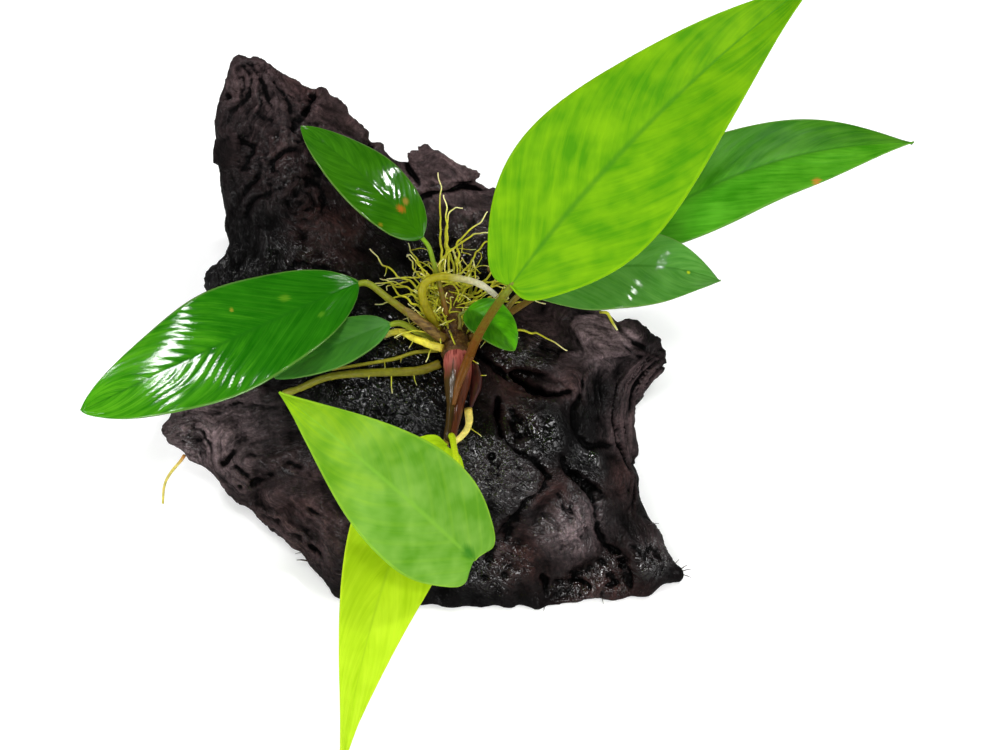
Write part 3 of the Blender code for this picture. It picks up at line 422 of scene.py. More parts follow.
for index in range(count):
    a, b = across[index] / spacing[index], along[index] / (spacing[index] * RIDGE_STRETCH)
    ridge = (0.40 - 2.2 * min(0.25, abs(noise.noise(Vector((a, b, 0.0)))))
             + 0.5 * noise.noise(Vector((a * 2.7, b, 3.0))))
    step = (a * 0.62 + 1.1 * noise.noise(Vector((a * 0.3, b, 7.0)))) % 1.0
    layer = step ** 0.6 - 0.6 - 0.3 * (step < 0.14)
    shift[index] = ridge_height[index] * ridge + layer_height[index] * layer

# The layers of the right wall, and how squarely the camera sees each place
picture = seen_at(spots + 0.45 * bend)
steady = seen_at(spots + 0.12 * bend)
to_camera = np.array(CAMERA_PLACE) / MM - spots
to_camera /= np.linalg.norm(to_camera, axis=1)[:, None]
facing = np.clip(np.einsum("ij,ij->i", normals, to_camera) * 2.5 + 0.35, 0.0, 1.0)
inner, outer = path_distance(steady, WALL_EDGE), path_distance(steady, WALL_OUTLINE)
wall = inside(steady, WALL_EDGE + WALL_OUTLINE[::-1]) * np.clip(inner / WALL_FADE, 0.0, 1.0)
depth_in = inner / (inner + outer) * WALL_LAYERS
wobble = np.array([noise.noise(Vector((depth * 0.8, spot[1] / 14.0, 4.0)))
                   for depth, spot in zip(depth_in, spots)])
step = (depth_in + 0.8 * wobble) % 1.0
shift = shift * (1 - wall) + wall * LAYER_DEPTH * (step ** 0.7 - 0.5 - 0.6 * (step < 0.18))
across = across * (1 - wall) + wall * depth_in * 2.2
along = along * (1 - wall) - wall * spots[:, 1]
layer_height = np.maximum(layer_height, wall)

# Crumbs and wet wrinkles
crumble, wrinkle, tone = np.full(count, 0.18), np.full(count, 0.15), np.full(count, 0.5)
for centre, reach, crumbs, wrinkles in ROUGH_PLACES.values():
    hold = np.exp(-(np.linalg.norm(spots - centre, axis=1) / reach) ** 2)
    crumble, wrinkle = np.maximum(crumble, hold * crumbs), np.maximum(wrinkle, hold * wrinkles)
for index, spot in enumerate(map(Vector, spots + 0.6 * bend)):
    chips = 0.0
    for size, height in CRUMBS:
        place = Vector((spot.x / size, spot.y / size, spot.z / size * 0.7))
        centre = noise.voronoi(place)[1][0]
        toss = noise.cell_vector(centre * 31.7) - Vector((0.5, 0.5, 0.5))
        chips += height * (toss.x + 1.3 * toss.dot(place - centre))
        tone[index] += 0.35 * toss.z * height
    worm = noise.noise(spot / 1.9 + noise.noise_vector(spot / 3.0) * 0.9)
    shift[index] += (crumble[index] * (chips + 0.9 * noise.noise(spot / 6.0))
                     + wrinkle[index] * (min(abs(worm), 0.2) * 1.9 - 0.28))


def crease_share(distance, side, taper, left, right, narrowest):
    """The share of its depth that a crease with unlike flanks has at each place, broken in spots."""
    width = np.maximum(np.where(side > 0, left, right) * taper, narrowest)
    broken = np.clip(0.85 + 0.5 * bend[:, 2], 0.5, 1.1) * taper
    return np.exp(-(distance / width) ** 2) * broken


for left, right, depth, path in CREASES.values():
    shift -= depth * crease_share(*path_distance(bent, path, normals), left, right, NARROWEST_CREASE)
picture_places = np.column_stack((picture, np.zeros(count)))
picture_facing = np.tile((0.0, 0.0, -1.0), (count, 1))
for left, right, depth, path in TRACED.values():
    found = path_distance(picture_places, [(*place, 0) for place in path], picture_facing)
    shift -= facing * depth * crease_share(*found, left, right, NARROWEST_TRACED)
for width, height, path in EDGES.values():
    shift += height * np.exp(-(path_distance(bent, path) / width) ** 2)
for centre, reach, height in SWELLINGS.values():
    shift += height * np.exp(-(np.linalg.norm(spots + 0.3 * bend - centre, axis=1) / reach) ** 4)

# Each split face is brought level with the plane that fits its places best, and gets fine lines
flat, painted_rim_highlight = np.zeros(count), np.zeros(count)
for way, gap, depth, raised, corners in FACETS.values():
    hold = inside(steady, corners) * facing
    border = path_distance(steady, corners + corners[:1])
    inner_spots = spots[hold > 0.8]
    middle = inner_spots.mean(axis=0)
    outward = np.linalg.svd(inner_spots - middle, full_matrices=False)[2][2]
    outward *= np.sign(outward @ to_camera[hold > 0.8].mean(axis=0))
    level = raised - (spots - middle) @ outward
    level /= np.clip(normals @ outward, 0.5, 1.0)
    over_lines = (steady[:, 0] * way[1] - steady[:, 1] * way[0]) / gap
    lines = np.array([noise.noise(Vector((place, 0.15 * run, raised)))
                      for place, run in zip(over_lines, steady @ np.array(way) / gap)])
    hold = hold * np.clip(border / FACET_FADE, 0.0, 1.0)
    target = np.clip(level, -2.5, 2.5) - depth * np.clip(2.5 * lines, -0.3, 1.0)
    shift = shift * (1 - hold) + hold * target
    flat = np.maximum(flat, hold)
    # A band just inside the border of each face, lightened later as a painted highlight on its rim
    painted_rim_highlight = np.maximum(painted_rim_highlight, np.exp(-((border - 1.5) / 1.3) ** 2) * hold)

moved = spots + normals * (shift * off_floor)[:, None]
moved[:, 2] = np.maximum(moved[:, 2], 0.0)
wood.data.vertices.foreach_set("co", (moved * MM).ravel())
wood.data.update()

# How hollow each place is beside its surroundings, for painted shade in cracks and painted highlight on
# ridges
SURROUNDING_RINGS = 9
around = moved.copy()
for ring in range(SURROUNDING_RINGS):
    around = neighbour_mean(around, edges, count)
hollow = np.einsum("ij,ij->i", around - moved, normals)
# The rims of the split faces count as less hollow, which gives them their painted highlight
write_attribute(wood.data, "hollow", np.clip(0.5 + hollow / 1.2 - 0.16 * painted_rim_highlight, 0.0, 1.0))
write_attribute(wood.data, "grain_across", across)
write_attribute(wood.data, "grain_along", along)
dry, red = np.zeros(count), np.zeros(count)
for centre, reach, dryness, redness in WOOD_TINTS.values():
    hold = np.exp(-(np.linalg.norm(bent - centre, axis=1) / reach) ** 2)
    dry, red = np.maximum(dry, hold * dryness), np.maximum(red, hold * redness)
write_attribute(wood.data, "dryness", dry)
write_attribute(wood.data, "redness", red)
write_attribute(wood.data, "wetness", np.clip(wrinkle * (1 - flat), 0.0, 1.0))
uneven = (tone - 0.5) * np.clip(crumble * 1.5, 0.3, 1.0) * (1 - flat)
write_attribute(wood.data, "tone", np.clip(0.5 + uneven, 0.0, 1.0))
write_attribute(wood.data, "strands", np.clip(np.maximum(ridge_height, layer_height) / 0.5, 0.0, 1.0))

# The flat underside needs no fine skin
UNDERSIDE_SHARE = 0.63
below = (moved[:, 2] < 0.3) & (normals[:, 2] < -0.8)
underside = wood.vertex_groups.new(name="underside")
underside.add([int(index) for index in np.flatnonzero(below)], 1.0, "REPLACE")
thin = wood.modifiers.new("Thin out the underside", "DECIMATE")
thin.vertex_group = "underside"
thin.ratio = UNDERSIDE_SHARE
apply_all(wood)
bpy.ops.object.shade_smooth()


class Painter:
    """Adds nodes to a material or a group and links them by name."""

    def __init__(self, tree):
        self.tree = tree

    def node(self, kind, links=None, **settings):
        made = self.tree.nodes.new(kind)
        for key, value in settings.items():
            setattr(made, key, value)
        for name, value in (links or {}).items():
            socket = made.inputs[name]
            if isinstance(value, bpy.types.NodeSocket):
                self.tree.links.new(value, socket)
            else:
                socket.default_value = value
        return made

    def maths(self, operation, first, second=0.0, third=0.0, clamp=False):
        made = self.node("ShaderNodeMath", {0: first, 1: second, 2: third}, operation=operation)
        made.use_clamp = clamp
        return made.outputs[0]

    def times(self, first, second, clamp=False):
        return self.maths("MULTIPLY", first, second, clamp=clamp)

    def plus(self, first, second):
        return self.maths("ADD", first, second)

    def winding(self, noise):
        """The middle of a noise's range as thin winding lines."""
        return self.maths("ABSOLUTE", self.maths("SUBTRACT", noise, 0.5))

    def vector(self, x, y, z):
        return self.node("ShaderNodeCombineXYZ", {0: x, 1: y, 2: z}).outputs[0]

    def place(self):
        return self.node("ShaderNodeTexCoord").outputs["Object"]

    def blade_place(self):
        return self.node("ShaderNodeUVMap", uv_map="UVMap").outputs[0]

    def mapped(self, where, **turns):
        return self.node("ShaderNodeMapping", {"Vector": where, **turns}).outputs[0]

    def attribute(self, name):
        return self.node("ShaderNodeAttribute", attribute_name=name).outputs["Fac"]

    def bump(self, strength, distance, height):
        return self.node("ShaderNodeBump", {"Strength": strength, "Distance": distance,
                                            "Height": height}).outputs[0]

    def noise(self, where, scale, detail=4.0, roughness=0.55, distortion=0.0):
        return self.node("ShaderNodeTexNoise", {"Vector": where, "Scale": scale, "Detail": detail,
                                                "Roughness": roughness, "Distortion": distortion}).outputs[0]

    def blend(self, share, first, second, mode="MIX"):
        made = self.node("ShaderNodeMix", data_type="RGBA", blend_type=mode)
        for socket, value in ((made.inputs[0], share), (made.inputs[6], first), (made.inputs[7], second)):
            if isinstance(value, bpy.types.NodeSocket):
                self.tree.links.new(value, socket)
            elif isinstance(value, tuple):
                socket.default_value = (*value, 1.0)
            else:
                socket.default_value = value
        return made.outputs[2]

    def dimmed(self, colour, shade):
        """A colour with each of its channels multiplied by one number."""
        grey = self.node("ShaderNodeCombineColor", {0: shade, 1: shade, 2: shade}).outputs[0]
        return self.blend(1.0, colour, grey, "MULTIPLY")

    def spread(self, value, low, high, new_low=0.0, new_high=1.0):
        return self.node("ShaderNodeMapRange", {"Value": value, "From Min": low, "From Max": high,
                                                "To Min": new_low, "To Max": new_high}).outputs[0]


def new_material(name):
    """An empty material with a Principled shader, and the painter of its nodes."""
    made = bpy.data.materials.new(name)
    made.use_nodes = True
    painter = Painter(made.node_tree)
    return made, painter, made.node_tree.nodes["Principled BSDF"]


def link(painter, shader, **values):
    """Link or set the shader's sockets, named with _ for each space."""
    for name, value in values.items():
        socket = shader.inputs[name.replace("_", " ")]
        if isinstance(value, bpy.types.NodeSocket):
            painter.tree.links.new(value, socket)
        else:
            socket.default_value = value


# Near black where wet, grey brown where dry and red brown here and there. A broken film of water lies
# on it, and its wrinkles make the film glint. Painted shade darkens its cracks, and painted highlight
# lightens its ridges and the rims of its split faces.
soaked_wood, paint, shader = new_material("soaked_driftwood")
where = paint.place()
hollow_mask, dry_mask, red_mask, wet_mask, tone_mask, strand_mask, over, run = (
    paint.attribute(name)
    for name in ("hollow", "dryness", "redness", "wetness", "tone", "strands", "grain_across", "grain_along"))
grain_place = paint.vector(over, paint.times(run, 0.10), 0.0)
fibres = paint.noise(grain_place, 1.15, 3.0, 0.6)
cloud = paint.noise(where, 150.0, 4.0, 0.6)
flow_place = paint.vector(over, paint.times(run, 0.42), 0.0)
worms = paint.winding(paint.noise(where, 330.0, 1.0, 0.35, 1.4))
flows = paint.winding(paint.noise(flow_place, 0.62, 1.0, 0.35, 0.8))
worms = paint.plus(paint.times(worms, 0.5), paint.times(flows, 0.75))
fine = paint.noise(where, 1100.0, 2.0, 0.6)
dry_share = paint.times(dry_mask, paint.spread(cloud, 0.36, 0.60, 0.55, 1.15))
red_share = paint.times(red_mask, paint.spread(cloud, 0.35, 0.65, 0.4, 1.2), clamp=True)
colour = paint.blend(dry_share, (0.0012, 0.0009, 0.0010), (0.118, 0.084, 0.088))
colour = paint.blend(red_share, colour, (0.026, 0.0105, 0.0090))
# Painted shade darkens the cracks, and painted highlight lightens the ridges and the rims of split faces
painted_crease_shade_and_ridge_highlight = paint.spread(hollow_mask, 0.30, 0.74, 1.55, 0.03)
shade = paint.times(painted_crease_shade_and_ridge_highlight, paint.spread(tone_mask, 0.2, 0.8, 0.45, 1.5))
shade = paint.times(shade, paint.spread(fibres, 0.32, 0.68, 0.45, 1.6))
shade = paint.times(shade, paint.spread(fine, 0.3, 0.7, 0.6, 1.4))
colour = paint.dimmed(colour, shade)
film = paint.times(paint.spread(wet_mask, 0.1, 0.7, 0.06, 1.0),
                   paint.spread(hollow_mask, 0.50, 0.66, 1.0, 0.1))
film = paint.times(film, paint.spread(worms, 0.03, 0.11, 0.2, 1.0))
height = paint.plus(paint.times(worms, paint.spread(wet_mask, 0.1, 0.9, 0.15, 0.95)),
                    paint.times(fine, paint.spread(wet_mask, 0.1, 0.8, 0.09, 0.03)))
height = paint.plus(height, paint.times(fibres, paint.spread(strand_mask, 0.0, 1.0, 0.08, 0.6)))
bump = paint.bump(1.0, 2.1 * MM, height)
link(paint, shader, Base_Color=colour, Roughness=0.62, Normal=bump, Coat_Weight=film, Coat_Normal=bump)
shader.inputs["Coat Roughness"].default_value = 0.10
shader.inputs["Coat IOR"].default_value = 1.7
shader.inputs["Specular IOR Level"].default_value = 0.04
wood.data.materials.clear()
wood.data.materials.append(soaked_wood)
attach(wood, "root")
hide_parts("driftwood")


# Rhizome, sheath and bud
# The creeping stem lies on the wood, brown and ringed with the scars of old leaves. At its growing
# end a glossy reddish sheath wraps the newest stalks, with a dark red bud beside it.

RHIZOME_MIDDLE = Vector((7.4, 4.0, 47.5)) * MM
SCAR_SPACING = 1.5 * MM
RHIZOME_STEP = 0.28 * MM


def ring_line(node, sides, near=RHIZOME_MIDDLE):
    """The middle line and the radii of a tube-shaped solid, from the end nearer the rhizome."""
    skin = bmesh.new()
    skin.from_mesh(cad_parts[node].data)
    bmesh.ops.remove_doubles(skin, verts=skin.verts, dist=0.000002)
    caps = []
    for face in skin.faces:
        flat, edge = {face}, [face]
        while edge:
            for link_edge in edge.pop().edges:
                for beside in link_edge.link_faces:
                    if beside not in flat and beside.normal.dot(face.normal) > 0.99999:
                        flat.add(beside)
                        edge.append(beside)
        ring = {vert for part in flat for vert in part.verts}
        middle = sum((vert.co for vert in ring), Vector()) / len(ring)
        reach = [(vert.co - middle).length for vert in ring]
        if len(ring) == sides and max(reach) < 1.04 * min(reach):
            caps.append((sum(reach) / sides, middle, ring))
    smallest = min(reach for reach, middle, ring in caps)
    caps = [cap for cap in caps if sides > 4 or cap[0] < 2.0 * smallest]
    reach, middle, ring = min(caps, key=lambda cap: (cap[1] - near).length)
    seen, points, radii = set(), [], []
    while ring:
        seen |= ring
        middle = sum((vert.co for vert in ring), Vector()) / len(ring)
        points.append(middle.copy())
        radii.append(sum((vert.co - middle).length for vert in ring) / len(ring))
        ring = {edge.other_vert(vert) for vert in ring for edge in vert.link_edges} - seen
    skin.free()
    return points, radii


def eased(points, radii, step):
    """The same line and radii, drawn as a smooth curve with even, closer points."""
    points = [Vector(point) for point in points]
    ends = [points[0] * 2 - points[1]] + points + [points[-1] * 2 - points[-2]]
    dense, thick = [], []
    for index in range(len(points) - 1):
        before, start, end, after = ends[index:index + 4]
        for part in range(12):
            t = part / 12
            dense.append(0.5 * (2 * start + (end - before) * t
                                + (2 * before - 5 * start + 4 * end - after) * t ** 2
                                + (3 * start - before - 3 * end + after) * t ** 3))
            thick.append(radii[index] * (1 - t) + radii[index + 1] * t)
    dense.append(points[-1])
    thick.append(radii[-1])
    run = np.cumsum([0.0] + [(b - a).length for a, b in zip(dense, dense[1:])])
    wanted = np.linspace(0.0, run[-1], max(3, round(run[-1] / step) + 1))
    columns = [np.interp(wanted, run, column) for column in np.array(dense).T]
    return [Vector(spot) for spot in zip(*columns)], list(np.interp(wanted, run, thick))


def rounded_ends(points, radii, first=True, last=True):
    """A line whose tube closes in a half round instead of a flat end."""
    points, radii = list(points), list(radii)
    for wanted, at, beside in ((first, 0, 1), (last, -1, -2)):
        if not wanted:
            continue
        radius, spot = radii[at], points[at]
        outward = (spot - points[beside]).normalized()
        for share in (0.4, 0.75, 0.95):
            new = (spot + outward * radius * share, radius * math.sqrt(1 - share ** 2))
            points.insert(0, new[0]) if at == 0 else points.append(new[0])
            radii.insert(0, new[1]) if at == 0 else radii.append(new[1])
    return points, radii


def grow_tubes(name, lines, rounds):
    """One mesh of round tubes along lines of points and radii, with the share of the way along each."""
    bpy.ops.curve.primitive_nurbs_path_add(location=(0, 0, 0))
    piece = bpy.context.object
    piece.name = piece.data.name = name
    curve = piece.data
    curve.splines.clear()
    for points, radii in lines:
        spline = curve.splines.new("POLY")
        spline.points.add(len(points) - 1)
        for knot, point, radius in zip(spline.points, points, radii):
            knot.co = (*point, 1.0)
            knot.radius = radius
        spline.use_smooth = True
    curve.dimensions = "3D"
    curve.bevel_depth = 1.0
    curve.bevel_resolution = rounds
    curve.use_fill_caps = True
    curve.resolution_u = 1
    make_active(piece)
    bpy.ops.object.convert(target="MESH")
    piece = bpy.context.object
    bpy.ops.object.mode_set(mode="EDIT")
    bpy.ops.mesh.select_all(action="SELECT")
    bpy.ops.mesh.remove_doubles(threshold=0.000001)
    bpy.ops.mesh.normals_make_consistent(inside=False)
    bpy.ops.object.mode_set(mode="OBJECT")
    total = sum(len(points) for points, radii in lines)
    tree = KDTree(total)
    shares, tones = [], []
    for number, (points, radii) in enumerate(lines):
        for index, point in enumerate(points):
            tree.insert(point, len(shares))
            shares.append(index / (len(points) - 1))
            tones.append((number * 0.618) % 1.0)
    tree.balance()
    nearest = [tree.find(vert.co)[1] for vert in piece.data.vertices]
    write_attribute(piece.data, "along", np.array(shares)[nearest])
    write_attribute(piece.data, "tone", np.array(tones)[nearest])
    make_active(piece)
    bpy.ops.object.shade_smooth()
    return piece


def finish_piece(piece, surface, slot, *nodes):
    """Give a piece its material, and tie it to the solids that it stands for."""
    piece.data.materials.clear()
    piece.data.materials.append(surface)
    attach(piece, "root")
    if nodes:
        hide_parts(*nodes)


points, radii = ring_line("rhizome", 12, Vector((6.4, 20, 47)) * MM)
points, radii = eased(points, radii, RHIZOME_STEP)
radii = [radius * (0.97 + 0.06 * ((index * RHIZOME_STEP / SCAR_SPACING) % 1.0) ** 2)
         for index, radius in enumerate(radii)]
rhizome = grow_tubes("ringed_rhizome", [rounded_ends(points, radii)], 10)
spots, normals = coordinates(rhizome.data), coordinates(rhizome.data, "normal")
lumps = np.array([0.32 * noise.noise(Vector(spot) / (2.6 * MM))
                  + 0.14 * noise.noise(Vector(spot) / (0.9 * MM)) for spot in spots])
rhizome.data.vertices.foreach_set("co", (spots + normals * (lumps * MM)[:, None]).ravel())

rhizome_skin, paint, shader = new_material("rhizome_skin")
where = paint.place()
patches = paint.noise(where, 420.0, 4.0)
grain = paint.noise(where, 1800.0, 3.0)
colour = paint.blend(paint.spread(patches, 0.35, 0.65), (0.026, 0.007, 0.004), (0.105, 0.052, 0.010))
colour = paint.blend(paint.spread(grain, 0.52, 0.75), colour, (0.20, 0.12, 0.03))
bump = paint.bump(0.5, 0.3 * MM, grain)
link(paint, shader, Base_Color=colour, Roughness=paint.spread(grain, 0.3, 0.7, 0.32, 0.55), Normal=bump)
shader.inputs["Specular IOR Level"].default_value = 0.18
finish_piece(rhizome, rhizome_skin, "rhizome_skin", "rhizome")

# The sheath is swollen where it leaves the rhizome, and draws out into the twin strands of two stalks
points, radii = ring_line("crown_sheath", 12, Vector((8.5, -1.9, 48)) * MM)
points, radii = eased(points, radii, 0.4 * MM)
radii = [radius * (1.03 - 0.27 * min(1.0, 1.6 * index / len(radii))) for index, radius in enumerate(radii)]
sheath = grow_tubes("crown_sheath_skin", [rounded_ends(points, radii)], 14)
spots, normals = coordinates(sheath.data), coordinates(sheath.data, "normal")
shares = np.zeros(len(spots))
sheath.data.attributes["along"].data.foreach_get("value", shares)
above = np.clip(normals[:, 2], 0.0, 1.0)
split = np.exp(-((normals[:, 0] + 0.05) / 0.28) ** 2) * above * np.clip((shares - 0.35) / 0.4, 0.0, 1.0)
round_place = np.arctan2(normals[:, 0], normals[:, 2])
folds = np.sin(round_place * 11.0 + 1.0 + 4.0 * shares) * 0.16 * np.clip(shares * 2.5, 0.15, 1.0)
bulge = np.array([0.25 * noise.noise(Vector((x, y * 0.4, z)) / (2.2 * MM)) for x, y, z in spots])
shift = (folds + bulge - split * 0.75) * MM
sheath.data.vertices.foreach_set("co", (spots + normals * shift[:, None]).ravel())
write_attribute(sheath.data, "rightward", np.clip(0.5 + normals[:, 0] * 0.9, 0.0, 1.0))

sheath_skin, paint, shader = new_material("sheath_skin")
where = paint.place()
lengthwise = paint.mapped(where, Scale=(1.0, 0.12, 1.0))
streaks = paint.noise(lengthwise, 1500.0, 4.0)
along = paint.attribute("along")
rightward = paint.attribute("rightward")
strands = paint.blend(paint.spread(rightward, 0.35, 0.6), (0.050, 0.026, 0.002), (0.085, 0.018, 0.003))
rosy = paint.blend(paint.spread(streaks, 0.35, 0.65), (0.15, 0.018, 0.015), (0.60, 0.160, 0.125))
colour = paint.blend(paint.spread(paint.plus(along, paint.spread(streaks, 0.3, 0.7, -0.12, 0.12)),
                                  0.14, 0.34), rosy, strands)
colour = paint.blend(paint.spread(streaks, 0.55, 0.72), colour, (0.022, 0.010, 0.005))
bump = paint.bump(0.4, 0.3 * MM, streaks)
link(paint, shader, Base_Color=colour, Roughness=0.40, Normal=bump, Coat_Weight=0.45, Coat_Normal=bump)
shader.inputs["Coat Roughness"].default_value = 0.12
shader.inputs["Specular IOR Level"].default_value = 0.20
finish_piece(sheath, sheath_skin, "sheath_skin", "crown_sheath")

points, radii = ring_line("crown_bud", 8, Vector((12.8, -3.4, 46)) * MM)
points, radii = eased(points, radii, 0.5 * MM)
bud = grow_tubes("dark_bud", [rounded_ends(points, radii)], 8)
bud_skin, paint, shader = new_material("bud_skin")
where = paint.place()
streaks = paint.noise(paint.mapped(where, Scale=(1.0, 0.2, 1.0)), 1300.0)
colour = paint.blend(paint.spread(streaks, 0.35, 0.65), (0.018, 0.005, 0.004), (0.075, 0.014, 0.010))
link(paint, shader, Base_Color=colour, Roughness=0.28, Coat_Weight=0.5)
finish_piece(bud, bud_skin, "sheath_skin", "crown_bud")


# Leaf stalks
# Each blade is carried by a firm round stalk, olive brown at its foot and green above, that runs on
# under the blade as its midrib. The sixth has a brown papery sheath around its foot.

# Each blade: base, middle and tip of its midrib in millimetres, full width, where it is widest, how
# drawn out its point is, its roll in degrees, how far its edges rise and the height of its waves
LEAF_FORMS = {
    "leaf_1": ((21.4, -8, 97), (54.3, 28.3, 110), (96, 67.5, 112), 38, 0.30, 1.5, 0, 1.2, 0.8),
    "leaf_2": ((43.8, 22.8, 53), (81, 44.4, 59), (124, 55.5, 54), 24, 0.42, 1.0, 0, 1.5, 0.6),
    "leaf_3": ((25.3, 11.6, 57), (49.2, 15.2, 63), (72.5, 13.8, 58), 20, 0.45, 0.85, 0, 1.2, 0.5),
    "leaf_4": ((11.2, 7.5, 55), (17, 3, 57), (22.4, -3, 54), 10.5, 0.42, 0.65, 0, 0.8, 0.2),
    "leaf_5": ((0.2, 21.5, 66), (-13.2, 33.6, 73), (-29.6, 49, 72), 16, 0.42, 0.8, 0, 1.0, 0.3),
    "leaf_6": ((-15.4, 12.2, 60), (-46.6, -5.0, 62), (-81, -18.2, 52), 28.5, 0.47, 0.8, 0, 1.4, 0.7),
    "leaf_7": ((-7.9, 5.1, 52), (-21.6, -0.9, 51.5), (-36, -6.7, 46), 12, 0.45, 0.85, 0, 0.8, 0.3),
    "leaf_8": ((13.1, -59.4, 62), (-7, -50, 90), (-27.3, -37.8, 106), 27, 0.28, 1.2, -14, 1.4, 0.6),
    "leaf_9": ((6.2, -27, 51), (-7.2, -64, 60), (-16.9, -106.6, 46), 24, 0.29, 1.5, -12, 1.2, 0.8),
}
# Each stalk: its colour at the foot, its colour above, and its thickness as a share of the solid's
STALK_COLOURS = {
    "stalk_1": ((0.150, 0.055, 0.006), (0.145, 0.200, 0.006), 0.90),
    "stalk_2": ((0.150, 0.080, 0.010), (0.17, 0.15, 0.01), 0.85),
    "stalk_3": ((0.150, 0.085, 0.010), (0.16, 0.15, 0.01), 0.85),
    "stalk_4": ((0.16, 0.13, 0.02), (0.10, 0.24, 0.02), 0.60),
    "stalk_5": ((0.170, 0.080, 0.008), (0.150, 0.400, 0.004), 0.68),
    "stalk_6": ((0.150, 0.090, 0.010), (0.230, 0.330, 0.008), 0.90),
    "stalk_7": ((0.260, 0.270, 0.020), (0.240, 0.360, 0.015), 0.85),
    "stalk_8": ((0.46, 0.60, 0.006), (0.40, 0.58, 0.010), 0.80),
    "stalk_9": ((0.180, 0.110, 0.018), (0.35, 0.50, 0.03), 1.0),
}
# These go into the rhizome straight on, and the others bend towards its middle
STRAIGHT_FEET = ("stalk_8", "stalk_9", "stalk_1")
# Where a stalk lies against its midrib: share of the blade's length, and the stalk's share left there
RUN_OUT = ((0.0, 0.95), (0.04, 0.72), (0.12, 0.48), (0.24, 0.26))

# The foot of the tallest stalk runs down over the crown sheath and dies out on it
SHEATHED_FOOT = [(7.9, -16.4, 51.6), (8.8, -12.0, 52.3), (10.3, -7.4, 52.2)]
SHEATHED_RADII = [0.45 * MM, 0.80 * MM, 1.10 * MM]
PAPERY_SHEATH = [(4.6, 1.6, 51.4), (2.2, 3.1, 52.9), (-0.4, 4.8, 54.0), (-3.0, 6.5, 55.2), (-4.6, 7.6, 56.2)]
PAPERY_RADII = [1.25 * MM, 1.30 * MM, 1.18 * MM, 1.00 * MM, 0.30 * MM]


def leaf_axes(form, along):
    """The midrib's place, and the ways along, across and up from the blade, at a share of its length."""
    base, middle, tip = (Vector(spot) * MM for spot in form[:3])
    bend = middle * 2 - (base + tip) / 2
    spot = base * (1 - along) ** 2 + bend * 2 * along * (1 - along) + tip * along ** 2
    ahead = ((bend - base) * (1 - along) + (tip - bend) * along).normalized()
    side = ahead.cross(Vector((0, 0, 1))).normalized()
    up = side.cross(ahead)
    turn = Matrix.Rotation(math.radians(form[6]), 3, ahead)
    return spot, ahead, turn @ side, turn @ up


for name, (foot_colour, top_colour, slimness) in STALK_COLOURS.items():
    form = LEAF_FORMS[name.replace("stalk", "leaf")]
    points, radii = ring_line(name, 8)
    radii = [radius * slimness for radius in radii]
    inward = (RHIZOME_MIDDLE - points[0]).normalized() * 0.4 + (points[0] - points[1]).normalized() * 0.6
    if name in STRAIGHT_FEET:
        inward = (points[0] - points[1]).normalized()
    points.insert(0, points[0] + inward * 1.5 * MM)
    radii.insert(0, radii[0] * 1.08)
    if name == "stalk_8":
        points = [point - Vector((1.6, 0, 0)) * MM * max(0.0, 1 - index / 5)
                  for index, point in enumerate(points)]
    if name == "stalk_1":
        points[:1] = [Vector(spot) * MM for spot in SHEATHED_FOOT]
        radii[:1] = SHEATHED_RADII
    top_radius = radii[-1]
    points.pop()
    radii.pop()
    for share, thinner in RUN_OUT:
        spot, ahead, side, up = leaf_axes(form, share)
        below_blade = 0.2 if share == 0.0 else 1.0
        points.append(spot - up * (top_radius * thinner * below_blade + 0.35 * MM))
        radii.append(top_radius * thinner)
    points, radii = eased(points, radii, 0.55 * MM)
    stalk = grow_tubes(name + "_skin", [rounded_ends(points, radii, first=False)], 6)
    surface, paint, shader = new_material(name + "_skin")
    where = paint.place()
    along = paint.attribute("along")
    mottle = paint.noise(where, 700.0, 4.0)
    reach = paint.plus(along, paint.spread(mottle, 0.3, 0.7, -0.12, 0.12))
    green_from = 0.30 if name == "stalk_1" else 0.12
    colour = paint.blend(paint.spread(reach, green_from, 0.80), foot_colour, top_colour)
    shade = paint.spread(paint.noise(where, 2400.0, 2.0), 0.3, 0.7, 0.8, 1.15)
    colour = paint.dimmed(colour, shade)
    bump = paint.bump(0.25, 0.2 * MM, mottle)
    link(paint, shader, Base_Color=colour, Roughness=0.36, Normal=bump, Subsurface_Weight=0.08)
    shader.inputs["Subsurface Scale"].default_value = 0.001
    shader.inputs["Specular IOR Level"].default_value = 0.22
    finish_piece(stalk, surface, "green_stalk", name)

# The papery brown sheath around the foot of the sixth stalk, drawn out to a point
points, radii = eased([Vector(spot) * MM for spot in PAPERY_SHEATH], PAPERY_RADII, 0.3 * MM)
papery = grow_tubes("papery_sheath", [rounded_ends(points, radii)], 8)
papery_skin, paint, shader = new_material("papery_sheath")
where = paint.place()
along = paint.attribute("along")
lengthwise = paint.mapped(where, Rotation=(0.0, 0.0, 0.55), Scale=(0.2, 1.4, 1.4))
streaks = paint.noise(lengthwise, 1300.0, 4.0)
colour = paint.blend(paint.spread(streaks, 0.36, 0.64), (0.050, 0.022, 0.006), (0.230, 0.140, 0.030))
colour = paint.blend(paint.spread(along, 0.6, 1.0, 0.0, 0.6), colour, (0.300, 0.240, 0.060))
bump = paint.bump(0.5, 0.3 * MM, streaks)
link(paint, shader, Base_Color=colour, Roughness=0.45, Normal=bump)
shader.inputs["Specular IOR Level"].default_value = 0.25
finish_piece(papery, papery_skin, "sheath_skin")


# Roots
# Fleshy roots creep from the rhizome over the wood: olive and thick where old, cream where young, and
# a tangle of thin yellow ones with pale tips behind it. They hold on by lying close to the bark.

